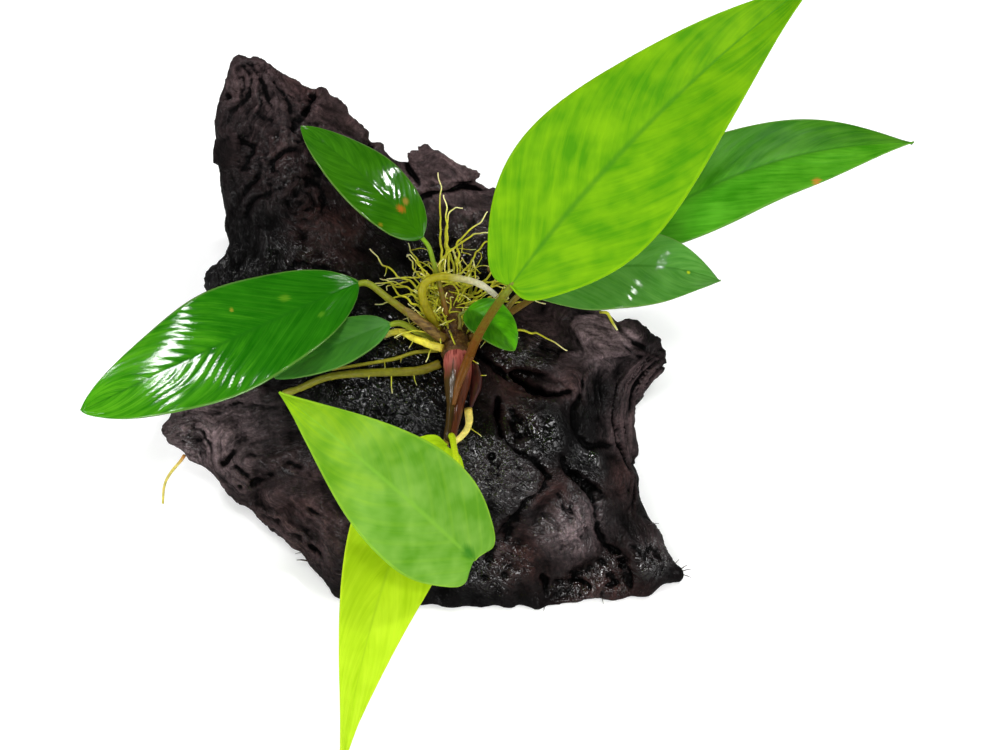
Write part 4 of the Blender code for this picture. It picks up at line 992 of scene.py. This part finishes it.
THICK_ROOT_COLOURS = {
    "root_olive": ((0.190, 0.150, 0.008), (0.200, 0.195, 0.010), (0.27, 0.27, 0.02)),
    "root_olive_thin": ((0.30, 0.27, 0.02), (0.34, 0.32, 0.02), (0.42, 0.36, 0.06)),
    "root_cream_left": ((0.60, 0.48, 0.04), (0.84, 0.76, 0.06), (0.92, 0.84, 0.34)),
    "root_cream_front": ((0.72, 0.55, 0.10), (0.86, 0.72, 0.16), (0.88, 0.76, 0.24)),
    "root_hanging": ((0.50, 0.22, 0.04), (0.66, 0.56, 0.12), (0.60, 0.55, 0.03)),
    "root_arch": ((0.20, 0.15, 0.004), (0.30, 0.265, 0.003), (1.0, 0.95, 0.76)),
}
HANGING_START = Vector((-61.5, -15.2, 17)) * MM
# The tangle: roots from the rhizome's sides, roots across its top, forks, and the seed of their draws
EXTRA_ROOTS, CROSSING_ROOTS, BRANCH_ROOTS = 80, 44, 70
ROOT_SEED = 7
# Millimetres that a thin root grows before it turns again
CREEP_STEP = 0.5
# Short side roots: start and way in millimetres, radius and length
SIDE_ROOTS = [
    ((-7.6, -4.6, 44.4), (0.0, -1.0, -0.3), 0.17, 5.4), ((-2.2, -4.6, 45.0), (0.0, -1.0, -0.3), 0.15, 3.6),
    ((-9.5, -1.2, 44.0), (0.1, -1.0, 0.0), 0.15, 2.2), ((11.2, -19.0, 45.6), (0.6, -0.8, 0.0), 0.14, 4.6),
    ((11.8, -3.2, 49.6), (0.7, -0.6, 0.2), 0.18, 2.6), ((14.2, -6.6, 47.2), (1.0, 0.1, 0.1), 0.14, 1.6),
    ((4.0, 3.6, 52.6), (0.15, -1.0, 0.0), 0.24, 5.2), ((6.6, 3.4, 51.8), (0.5, -0.9, 0.1), 0.24, 6.0),
    ((1.6, 2.6, 52.2), (-1.0, 0.25, 0.0), 0.22, 9.0), ((-4.0, 4.6, 48.6), (-0.4, -0.9, 0.1), 0.14, 2.4),
    ((-7.0, 5.6, 46.8), (-0.2, -1.0, 0.0), 0.14, 2.6), ((-2.0, 2.3, 50.0), (-0.3, -1.0, -0.1), 0.14, 3.0),
    ((-5.5, -0.3, 44.8), (0.3, -1.0, 0.0), 0.13, 1.8), ((-13.0, -4.4, 43.6), (-0.2, -1.0, 0.0), 0.13, 1.6),
    ((1.2, 6.2, 52.6), (-1.0, 0.4, 0.2), 0.22, 6.0), ((8.0, 13.6, 60.0), (0.2, 0.8, -0.5), 0.18, 3.0),
]
STRAY_ROOT = [(44.2, 14.4, 40.0), (46.1, 14.9, 38.4), (47.4, 13.1, 37.0), (48.7, 11.3, 36.0)]
STRAY_RADII = [0.40 * MM, 0.42 * MM, 0.36 * MM, 0.22 * MM]
ROOT_STUB = [(16.6, 24.4, 44.2), (17.6, 25.0, 45.2), (18.8, 25.6, 45.6)]
STUB_RADII = [0.9 * MM, 1.25 * MM, 1.05 * MM]
# Loose wood fibres: start and way in millimetres, radius and length
WOOD_FIBRES = [
    ((56.7, -32.2, 12), (1.0, 0.1, 0.1), 0.14, 2.8), ((57.5, -33.0, 11), (1.0, -0.3, 0.1), 0.12, 1.8),
    ((66, -41.7, 4.0), (1.0, 0.2, 0.1), 0.14, 2.4), ((66, -41.0, 4.6), (1.0, 0.6, 0.2), 0.13, 2.0),
    ((65.5, -42.4, 3.2), (1.0, -0.4, 0.0), 0.13, 2.2), ((64.5, -40.0, 5.5), (0.8, 0.9, 0.1), 0.12, 1.8),
    ((-31.0, -40.0, 6), (-1.0, 0.1, -0.1), 0.24, 2.8), ((-32.5, -38.6, 7), (-1.0, -0.2, 0.0), 0.12, 1.6),
    ((45, -48.5, 1.5), (0.2, -1.0, -0.1), 0.12, 1.6), ((30, -50.0, 1.2), (-0.1, -1.0, -0.1), 0.12, 1.2),
]
wood_shape = BVHTree.FromObject(wood, bpy.context.evaluated_depsgraph_get())


def root_skin(name, start, middle, end, tip_begins, gloss):
    """The colour of a root from its foot over its middle to its tip, with fine lengthwise mottling."""
    surface, paint, shader = new_material(name)
    where = paint.place()
    along = paint.attribute("along")
    tone = paint.attribute("tone")
    mottle = paint.noise(where, 1100.0, 4.0)
    colour = paint.blend(paint.spread(along, 0.0, 0.3), start, middle)
    colour = paint.blend(paint.spread(along, tip_begins, 1.0), colour, end)
    shade = paint.times(paint.spread(mottle, 0.3, 0.7, 0.75, 1.2), paint.spread(tone, 0, 1, 0.92, 1.15))
    colour = paint.dimmed(colour, shade)
    bump = paint.bump(0.3, 0.2 * MM, mottle)
    link(paint, shader, Base_Color=colour, Roughness=gloss, Normal=bump, Subsurface_Weight=0.1)
    shader.inputs["Subsurface Scale"].default_value = 0.0008
    shader.inputs["Specular IOR Level"].default_value = 0.25
    return surface


def into_rhizome(points, radii, depth):
    """A root's line carried on backwards, so that it grows out of what bears it."""
    back = (points[0] - points[1]).normalized()
    return [points[0] + back * depth] + points, [radii[0]] + radii


for name, (start, middle, end) in THICK_ROOT_COLOURS.items():
    grows_from = HANGING_START if name == "root_hanging" else RHIZOME_MIDDLE
    points, radii = into_rhizome(*ring_line(name, 6, grows_from), 1.2 * MM)
    points, radii = eased(points, radii, 0.4 * MM)
    fuller = 1.2 if "cream" in name or name == "root_arch" else 1.0
    radii = [radius * fuller * (1.0 + 0.12 * noise.noise(point / (1.7 * MM)))
             for point, radius in zip(points, radii)]
    root = grow_tubes(name + "_skin", [rounded_ends(points, radii, first=False)], 5)
    surface = root_skin(name + "_skin", start, middle, end, 0.55 if name == "root_arch" else 0.8, 0.38)
    finish_piece(root, surface, "thick_root", name)

fine_names = sorted(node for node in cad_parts
                    if node.startswith("root_") and node not in THICK_ROOT_COLOURS)
lines = []
for name in fine_names:
    points, radii = into_rhizome(*ring_line(name, 4), 0.9 * MM)
    points, radii = eased(points, radii, 0.45 * MM)
    points = [point + noise.noise_vector(point / (2.4 * MM)) * 0.70 * MM * min(1.0, index / 8)
              for index, point in enumerate(points)]
    tapered = [radius * (1.0 - 0.45 * index / len(radii)) for index, radius in enumerate(radii)]
    lines.append((points, tapered))

picks = random.Random(ROOT_SEED)


def creep(spot, way, radius, length, kinks=0.2):
    """A thin root that winds away from its start, sinks, and creeps over the wood where it meets it."""
    way, points = Vector(way).normalized(), [Vector(spot)]
    for step in range(max(3, int(length / CREEP_STEP))):
        turn = Vector((picks.uniform(-1, 1), picks.uniform(-1, 1), picks.uniform(-1, 0.7)))
        way = way + turn * (kinks * 4.0 if picks.random() < 0.12 else kinks)
        way.z -= 0.03
        way.normalize()
        spot = points[-1] + way * CREEP_STEP * MM
        nearest, normal, index, distance = wood_shape.find_nearest(spot)
        if (spot - nearest).dot(normal) < radius * 1.1:
            spot = nearest + normal * radius * 1.1
            way = (way - normal * min(0.0, way.dot(normal)) * 1.2).normalized()
        points.append(spot)
    return points, [radius * (1.0 - 0.5 * index / len(points)) for index in range(len(points))]


while len(lines) < len(fine_names) + EXTRA_ROOTS:
    station = picks.uniform(1.0, 20.0)
    side = picks.choice((-1, 1))
    tilt = picks.uniform(-0.2, 1.3)
    beside = 6.6 + 0.1 * (12 - station) + side * 3.2 * math.cos(tilt)
    spot = Vector((beside, station, 47.4 + 3.2 * math.sin(tilt))) * MM
    heading = math.radians(picks.uniform(15, 88) if picks.random() < 0.8 else picks.uniform(-25, 15))
    way = Vector((side * math.cos(heading), math.sin(heading), picks.uniform(-0.1, 0.8))).normalized()
    lines.append(creep(spot, way, picks.uniform(0.17, 0.30) * MM, picks.uniform(6.0, 17.0)))
for number in range(CROSSING_ROOTS):
    side, station = picks.choice((-1, 1)), picks.uniform(4.0, 19.0)
    spot = Vector((6.9 + side * 3.4, station, 48.5)) * MM
    way = (-side, picks.uniform(-0.7, 0.9), picks.uniform(0.5, 1.1))
    lines.append(creep(spot, way, picks.uniform(0.18, 0.28) * MM, picks.uniform(7.0, 13.0)))
for number in range(BRANCH_ROOTS):
    points, radii = lines[picks.randrange(len(lines))]
    at = picks.randrange(len(points) // 4, len(points))
    way = (picks.uniform(-1, 1), picks.uniform(-0.8, 1), picks.uniform(-0.2, 0.8))
    lines.append(creep(points[at], way, max(0.13 * MM, radii[at] * 0.8), picks.uniform(3.0, 9.0), 0.28))
for start, way, radius, length in SIDE_ROOTS:
    lines.append(creep(Vector(start) * MM, way, radius * MM, length, 0.12))
lines.append(eased([Vector(spot) * MM for spot in STRAY_ROOT], STRAY_RADII, 0.4 * MM))
tangle = grow_tubes("tangled_roots", lines, 1)
surface = root_skin("fine_root_skin", (0.27, 0.25, 0.012), (0.50, 0.49, 0.022), (0.92, 0.86, 0.40),
                    0.70, 0.42)
finish_piece(tangle, surface, "fine_root", *fine_names)

# A cut, tan root stub behind the crown
points, radii = eased([Vector(spot) * MM for spot in ROOT_STUB], STUB_RADII, 0.3 * MM)
stub = grow_tubes("cut_root_stub", [rounded_ends(points, radii)], 6)
surface = root_skin("cut_root_skin", (0.30, 0.17, 0.05), (0.55, 0.36, 0.13), (0.72, 0.52, 0.24), 0.6, 0.5)
finish_piece(stub, surface, "thick_root")

# Loose fibres of the wood at its foot and its left edge
fibre_lines = []
for start, way, radius, length in WOOD_FIBRES:
    nearest = wood_shape.find_nearest(Vector(start) * MM)[0]
    tip = nearest + Vector(way).normalized() * length * MM
    middle = (nearest + tip) / 2 + Vector((0, 0, 0.12 * length)) * MM
    thinning = [radius * MM, radius * 0.8 * MM, radius * 0.4 * MM]
    fibre_lines.append(eased([nearest, middle, tip], thinning, 0.3 * MM))
fibres = grow_tubes("wood_fibres", fibre_lines, 1)
fibre_skin, paint, shader = new_material("wood_fibre")
streaks = paint.noise(paint.place(), 1500.0)
colour = paint.blend(paint.spread(streaks, 0.4, 0.6), (0.010, 0.006, 0.005), (0.040, 0.020, 0.012))
link(paint, shader, Base_Color=colour, Roughness=0.5)
finish_piece(fibres, fibre_skin, "dark_wood")


# Leaf blades
# Leathery pointed blades with a sunken midrib and side veins that slant towards the tip. The old ones
# are dark, glossy and wet. The three young ones are light green, and let the light through.

VEIN_SLANT = 0.30
BLADE_CELLS = (150, 40)
BASE_CROWDING = 1.4
# Each blade: veins a side, depth of their quilting in millimetres, darker and lighter green, and tint
# of the tip. Then stripe colour, midrib colour, roughness, shine, share of light let through, and how
# far one half is painted darker and the other lighter, as painted shade and sheen.
LEAF_LOOKS = {
    "leaf_1": (13, 0.04, (0.085, 0.330, 0.001), (0.225, 0.500, 0.003), (0.86, 0.88, 0.3),
               (0.320, 0.620, 0.003), (0.06, 0.26, 0.008), 0.50, 0.08, 0.30, 0.0),
    "leaf_2": (12, 0.05, (0.026, 0.180, 0.001), (0.070, 0.290, 0.010), (1.1, 1.0, 1.0),
               (0.080, 0.360, 0.010), (0.03, 0.15, 0.006), 0.36, 0.10, 0.12, 0.24),
    "leaf_3": (14, 0.09, (0.046, 0.190, 0.020), (0.092, 0.270, 0.044), (1.0, 1.0, 1.0),
               (0.120, 0.340, 0.030), (0.03, 0.14, 0.01), 0.09, 0.50, 0.08, -0.10),
    "leaf_4": (6, 0.05, (0.020, 0.130, 0.001), (0.070, 0.300, 0.001), (1.1, 1.1, 1.0),
               (0.070, 0.260, 0.002), (0.04, 0.17, 0.004), 0.34, 0.12, 0.10, -0.30),
    "leaf_5": (15, 0.065, (0.015, 0.098, 0.001), (0.031, 0.150, 0.002), (1.3, 1.2, 2.0),
               (0.060, 0.240, 0.008), (0.02, 0.11, 0.003), 0.09, 0.50, 0.08, 0.0),
    "leaf_6": (18, 0.200, (0.0070, 0.110, 0.001), (0.019, 0.165, 0.003), (3.9, 2.05, 2.4),
               (0.060, 0.290, 0.010), (0.012, 0.12, 0.003), 0.07, 0.50, 0.10, 0.0),
    "leaf_7": (9, 0.06, (0.030, 0.165, 0.014), (0.056, 0.245, 0.020), (1.0, 1.0, 1.0),
               (0.080, 0.330, 0.022), (0.04, 0.20, 0.014), 0.40, 0.25, 0.08, 0.0),
    "leaf_8": (9, 0.03, (0.115, 0.345, 0.012), (0.235, 0.490, 0.060), (1.30, 1.10, 0.05),
               (0.370, 0.660, 0.030), (0.24, 0.53, 0.04), 0.55, 0.12, 0.30, -0.03),
    "leaf_9": (12, 0.05, (0.420, 0.660, 0.004), (0.550, 0.780, 0.012), (1.0, 1.0, 2.0),
               (0.660, 0.850, 0.020), (0.38, 0.60, 0.01), 0.55, 0.10, 0.30, 0.0),
}
# How far the margins of some blades stand above the midrib, on their left and right, where they don't
# rise alike, and how far the lobes at the base of a blade reach behind its stalk, in millimetres
LEAF_FOLDS = {"leaf_3": (0.4, -3.2), "leaf_5": (1.8, -0.9), "leaf_6": (0.9, -0.4)}
BASE_LOBES = {"leaf_8": 3.6, "leaf_1": 2.2, "leaf_9": 2.0}
LOBE_PLACE = 0.022
BLADE_THICKNESS = 0.42 * MM
YOUNG_LEAVES = ("leaf_1", "leaf_8", "leaf_9")
WORN_MARGIN = (0.30, 0.30, 0.12)
# What differs from the other blades: how uneven the quilting is, how deep the midrib lies in
# millimetres, how cloudy the green is, how much its fine threads show, and how ragged its spots are
WAVER = {"leaf_6": 0.90}
MIDRIB_DEPTH = {"leaf_8": 0.04}
CLOUDING = {"leaf_8": 0.75, "leaf_1": 0.5}
THREADS = {"leaf_8": 0.1, "leaf_1": 0.16}
SPOT_RAGGEDNESS = {"leaf_8": 0.1}
# Spots on the blades: place along and across, radius along and across, colour
LEAF_SPOTS = {
    "leaf_5": [(0.222, 0.10, 0.032, 0.14, (0.40, 0.11, 0.010)),
               (0.235, 0.42, 0.026, 0.13, (0.30, 0.19, 0.03)),
               (0.235, -0.88, 0.016, 0.08, (0.26, 0.20, 0.01))],
    "leaf_6": [(0.25, 0.35, 0.020, 0.10, (0.10, 0.26, 0.01)),
               (0.43, 0.5, 0.008, 0.05, (0.30, 0.26, 0.02)),
               (0.17, -0.4, 0.014, 0.07, (0.08, 0.25, 0.01))],
    "leaf_3": [(0.83, 0.05, 0.010, 0.07, (0.45, 0.55, 0.01))],
    "leaf_2": [(0.30, -0.30, 0.006, 0.04, (0.60, 0.60, 0.35)),
               (0.67, 0.93, 0.018, 0.12, (0.55, 0.20, 0.03))],
    "leaf_8": [(0.035, 0.06, 0.040, 0.20, (0.03, 0.22, 0.005))],
}

# One group of nodes draws the veins, the midrib, the margin and the mottling of every blade
vein_group = bpy.data.node_groups.new("leaf_veins", "ShaderNodeTree")
for socket, kind in (("Veins", "NodeSocketFloat"), ("Seed", "NodeSocketFloat")):
    vein_group.interface.new_socket(name=socket, in_out="INPUT", socket_type=kind)
for socket in ("Stripes", "Mottle", "Midrib", "Margin", "Fine", "Half", "Tip"):
    vein_group.interface.new_socket(name=socket, in_out="OUTPUT", socket_type="NodeSocketFloat")
paint = Painter(vein_group)
given = vein_group.nodes.new("NodeGroupInput")
result = vein_group.nodes.new("NodeGroupOutput")
over = paint.node("ShaderNodeSeparateXYZ", {0: paint.blade_place()})
across = paint.maths("SUBTRACT", paint.times(over.outputs[1], 2.0), 1.0)
aside = paint.maths("ABSOLUTE", across)
slant = paint.times(paint.maths("POWER", aside, 1.15), VEIN_SLANT)
phase = paint.times(paint.maths("SUBTRACT", over.outputs[0], slant), given.outputs["Veins"])
saw = paint.maths("PINGPONG", phase, 0.5)
stripes = paint.spread(saw, 0.0, 0.16, 1.0, 0.0)
mottle_place = paint.vector(phase, paint.times(across, 1.3), given.outputs["Seed"])
mottle = paint.noise(mottle_place, 1.5, 4.0, 0.6)
fine_place = paint.vector(paint.times(phase, 9.0), across, given.outputs["Seed"])
fine = paint.noise(fine_place, 1.2, 3.0)
midrib = paint.spread(aside, 0.012, 0.055, 1.0, 0.0)
margin = paint.spread(aside, 0.955, 0.985)
tip = paint.spread(paint.plus(over.outputs[0], paint.spread(mottle, 0.3, 0.7, -0.12, 0.12)), 0.45, 0.95)
for socket, value in (("Stripes", stripes), ("Mottle", mottle), ("Midrib", midrib), ("Margin", margin),
                      ("Fine", fine), ("Half", across), ("Tip", tip)):
    vein_group.links.new(value, result.inputs[socket])

for number, (name, form) in enumerate(LEAF_FORMS.items()):
    veins, quilting, dark, light, tip_tint, stripe, rib, gloss, shine, through, painted_half_shading = LEAF_LOOKS[name]
    width, widest, point, wave = form[3] * MM, form[4], form[5], form[8] * MM
    folds = LEAF_FOLDS.get(name, (form[7], form[7]))
    waver, midrib_depth = WAVER.get(name, 0.55), MIDRIB_DEPTH.get(name, 0.14) * MM
    base_power = point * widest / (1 - widest)
    peak = widest ** base_power * (1 - widest) ** point
    bpy.ops.mesh.primitive_grid_add(x_subdivisions=BLADE_CELLS[0], y_subdivisions=BLADE_CELLS[1], size=1.0)
    blade = bpy.context.object
    blade.name = blade.data.name = name + "_blade"
    flat = coordinates(blade.data)
    shaped = np.zeros_like(flat)
    uv = {}
    for index, (x, y, z) in enumerate(flat):
        along = min(1.0, max(0.0, x + 0.5)) ** BASE_CROWDING
        across = max(-1.0, min(1.0, y * 2))
        spot, ahead, side, up = leaf_axes(form, along)
        half = 0.5 * width * along ** base_power * (1 - along) ** point / peak
        aside = abs(across)
        phase = (veins * (along - VEIN_SLANT * aside ** 1.15)
                 + waver * noise.noise(Vector((along * 8.0, across * 1.6, number * 5.1))))
        uneven = 1.0 + 1.6 * waver * noise.noise(Vector((along * 9.0, across * 2.2, number * 9.7)))
        fade = (4.0 * aside * (1.0 - aside)) ** 0.7 * math.sin(math.pi * along) ** 0.5
        quilt = quilting * uneven * MM * (math.sin(math.pi * phase) ** 2 - 0.5) * fade
        groove = (midrib_depth * math.exp(-(aside * half / (0.55 * MM)) ** 2)
                  * math.sin(math.pi * along) ** 0.4)
        rise = (folds[across > 0] * MM * aside ** 1.3 * math.sin(math.pi * along)
                + wave * across * aside * math.sin(math.tau * 2.2 * along + 0.8)
                + 0.35 * MM * noise.noise(Vector((along * 5.0, across * 1.6, number * 7.3))) * aside ** 0.5)
        near = along / LOBE_PLACE
        behind = BASE_LOBES.get(name, 0.0) * MM * aside ** 1.5 * near * math.exp(1 - near)
        shaped[index] = spot + side * half * across + up * (rise + quilt - groove) - ahead * behind
        uv[index] = (along, 0.5 + across / 2)
    blade.data.vertices.foreach_set("co", shaped.ravel())
    layer = blade.data.uv_layers[0]
    layer.name = "UVMap"
    for loop in blade.data.loops:
        layer.data[loop.index].uv = uv[loop.vertex_index]
    make_active(blade)
    bpy.ops.object.mode_set(mode="EDIT")
    bpy.ops.mesh.select_all(action="SELECT")
    bpy.ops.mesh.remove_doubles(threshold=0.00001)
    bpy.ops.object.mode_set(mode="OBJECT")
    thick = blade.modifiers.new("Thickness", "SOLIDIFY")
    thick.thickness = BLADE_THICKNESS
    thick.offset = 0.0
    apply_all(blade)
    bpy.ops.object.shade_smooth()

    surface, paint, shader = new_material(name + "_green")
    group = paint.node("ShaderNodeGroup", node_tree=vein_group)
    group.inputs["Veins"].default_value = veins
    group.inputs["Seed"].default_value = number * 3.7
    masks = group.outputs
    cloud = paint.noise(paint.place(), 130.0, 2.0)
    clouding = CLOUDING.get(name, 0.4)
    patches = paint.plus(paint.times(masks["Mottle"], 1 - clouding), paint.times(cloud, clouding))
    colour = paint.blend(paint.spread(patches, 0.38, 0.62), dark, light)
    colour = paint.blend(paint.times(masks["Stripes"], 0.12), colour, stripe)
    threads = paint.times(paint.spread(masks["Fine"], 0.5, 0.75), THREADS.get(name, 0.3))
    colour = paint.blend(threads, colour, stripe)
    # One half of the blade is painted darker and the other lighter, as painted shade and sheen
    sides = paint.spread(masks["Half"], -0.2, 0.2, 1.0 - painted_half_shading, 1.0 + painted_half_shading)
    colour = paint.dimmed(colour, sides)
    colour = paint.blend(masks["Tip"], colour, paint.blend(1.0, colour, tip_tint, "MULTIPLY"))
    colour = paint.blend(paint.times(masks["Midrib"], 0.6), colour, rib)
    young = name in YOUNG_LEAVES
    worn = tuple(min(1.0, 0.6 * a + 0.4 * b) for a, b in zip(stripe, WORN_MARGIN))
    edge = stripe if young else worn
    colour = paint.blend(paint.times(masks["Margin"], 0.5), colour, edge)
    ragged_by = SPOT_RAGGEDNESS.get(name, 0.5)
    for spot_along, spot_across, reach_along, reach_across, tint in LEAF_SPOTS.get(name, []):
        middle = (-spot_along / reach_along, -(0.5 + spot_across / 2) / (reach_across / 2), 0)
        from_middle = paint.mapped(paint.blade_place(), Location=middle,
                                   Scale=(1 / reach_along, 2 / reach_across, 0))
        far = paint.node("ShaderNodeVectorMath", {0: from_middle}, operation="LENGTH").outputs["Value"]
        ragged = paint.plus(far, paint.spread(masks["Fine"], 0.3, 0.7, -ragged_by, ragged_by))
        colour = paint.blend(paint.spread(ragged, 0.4, 1.15, 0.8, 0.0), colour, tint)
    height = paint.plus(paint.times(masks["Fine"], 0.25), masks["Mottle"])
    bump = paint.bump(0.16 if gloss < 0.2 else 0.25, 0.3 * MM, height)
    link(paint, shader, Base_Color=colour, Normal=bump,
         Roughness=paint.spread(masks["Fine"], 0.3, 0.7, gloss - 0.03, gloss + 0.05))
    shader.inputs["Specular IOR Level"].default_value = shine
    glow = paint.node("ShaderNodeBsdfTranslucent", {"Color": colour}).outputs[0]
    mixed = paint.node("ShaderNodeMixShader", {0: through, 1: shader.outputs[0], 2: glow}).outputs[0]
    surface.node_tree.links.new(mixed, surface.node_tree.nodes["Material Output"].inputs[0])
    finish_piece(blade, surface, "young_leaf" if young else "old_leaf", name)


# Studio
# A white table and background. Small bright lights behind, at the back left and overhead put the white
# streaks on the wet leaves, and wider ones in front and at the sides make the wet wood glint.

bpy.ops.object.camera_add(location=CAMERA_PLACE, rotation=(CAMERA_TILT, 0.0, 0.0))
camera = bpy.context.object
camera.name = "camera"
camera.data.lens = LENS
camera.data.sensor_width = SENSOR
camera.data.clip_start = 0.02
bpy.context.scene.camera = camera

bpy.ops.mesh.primitive_plane_add(size=6.0, location=(0, 0, -0.00005))
table = bpy.context.object
table.name = "white_table"
white, paint, shader = new_material("white_table")
mirrored = paint.node("ShaderNodeLightPath").outputs["Is Glossy Ray"]
whiteness = paint.blend(mirrored, (0.95, 0.95, 0.95), (0.30, 0.30, 0.30))
link(paint, shader, Base_Color=whiteness, Roughness=0.8, Emission_Color=(1, 1, 1, 1),
     Emission_Strength=paint.spread(mirrored, 0.0, 1.0, 0.15, 0.0))
table.data.materials.append(white)

# Each lamp: place, width and height in metres, and power in watts. All point at the middle of the wood.
LAMPS = {
    "back_softbox": ((0.34, 0.34, 0.95), 0.06, 0.06, 2.6),
    "back_left_strip": ((-0.61, 0.36, 0.82), 0.20, 0.08, 3.0),
    "left_softbox": ((-0.66, -0.46, 0.46), 0.26, 0.22, 2.4),
    "right_softbox": ((0.80, -0.20, 0.48), 0.34, 0.30, 2.2),
    "overhead_softbox": ((0.10, -0.20, 1.0), 0.12, 0.10, 1.9),
    "front_softbox": ((0.12, -0.78, 0.46), 0.26, 0.16, 2.4),
}
LIT_PLACE = Vector((0, 0, 0.03))
for name, (place, width, height, power) in LAMPS.items():
    bpy.ops.object.light_add(type="AREA", location=place)
    lamp = bpy.context.object
    lamp.name = name
    lamp.data.shape = "RECTANGLE"
    lamp.data.size = width
    lamp.data.size_y = height
    lamp.data.energy = power
    lamp.rotation_euler = (LIT_PLACE - Vector(place)).to_track_quat("-Z", "Y").to_euler()

# The camera sees a white surround. What shines sees it dark overhead and pale near the table, so that
# the lights keep their contrast.
SURROUND_LIGHT = 0.50
SEEN_OVERHEAD, SEEN_LOW = 0.02, 0.16
world = bpy.data.worlds.new("white_surround")
bpy.context.scene.world = world
world.use_nodes = True
paint = Painter(world.node_tree)
rays = paint.node("ShaderNodeLightPath")
way = paint.node("ShaderNodeTexCoord").outputs["Generated"]
upward = paint.node("ShaderNodeSeparateXYZ", {0: way}).outputs[2]
glossy = rays.outputs["Is Glossy Ray"]
mirrored = paint.times(glossy, paint.spread(upward, 0.05, 0.50, SEEN_LOW, SEEN_OVERHEAD))
dim = paint.plus(mirrored, paint.times(paint.maths("SUBTRACT", 1.0, glossy), SURROUND_LIGHT))
bright = paint.maths("MAXIMUM", rays.outputs["Is Camera Ray"], dim)
background = world.node_tree.nodes["Background"]
background.inputs[0].default_value = (1, 1, 1, 1)
world.node_tree.links.new(bright, background.inputs[1])
bpy.context.scene.view_settings.view_transform = "Standard"
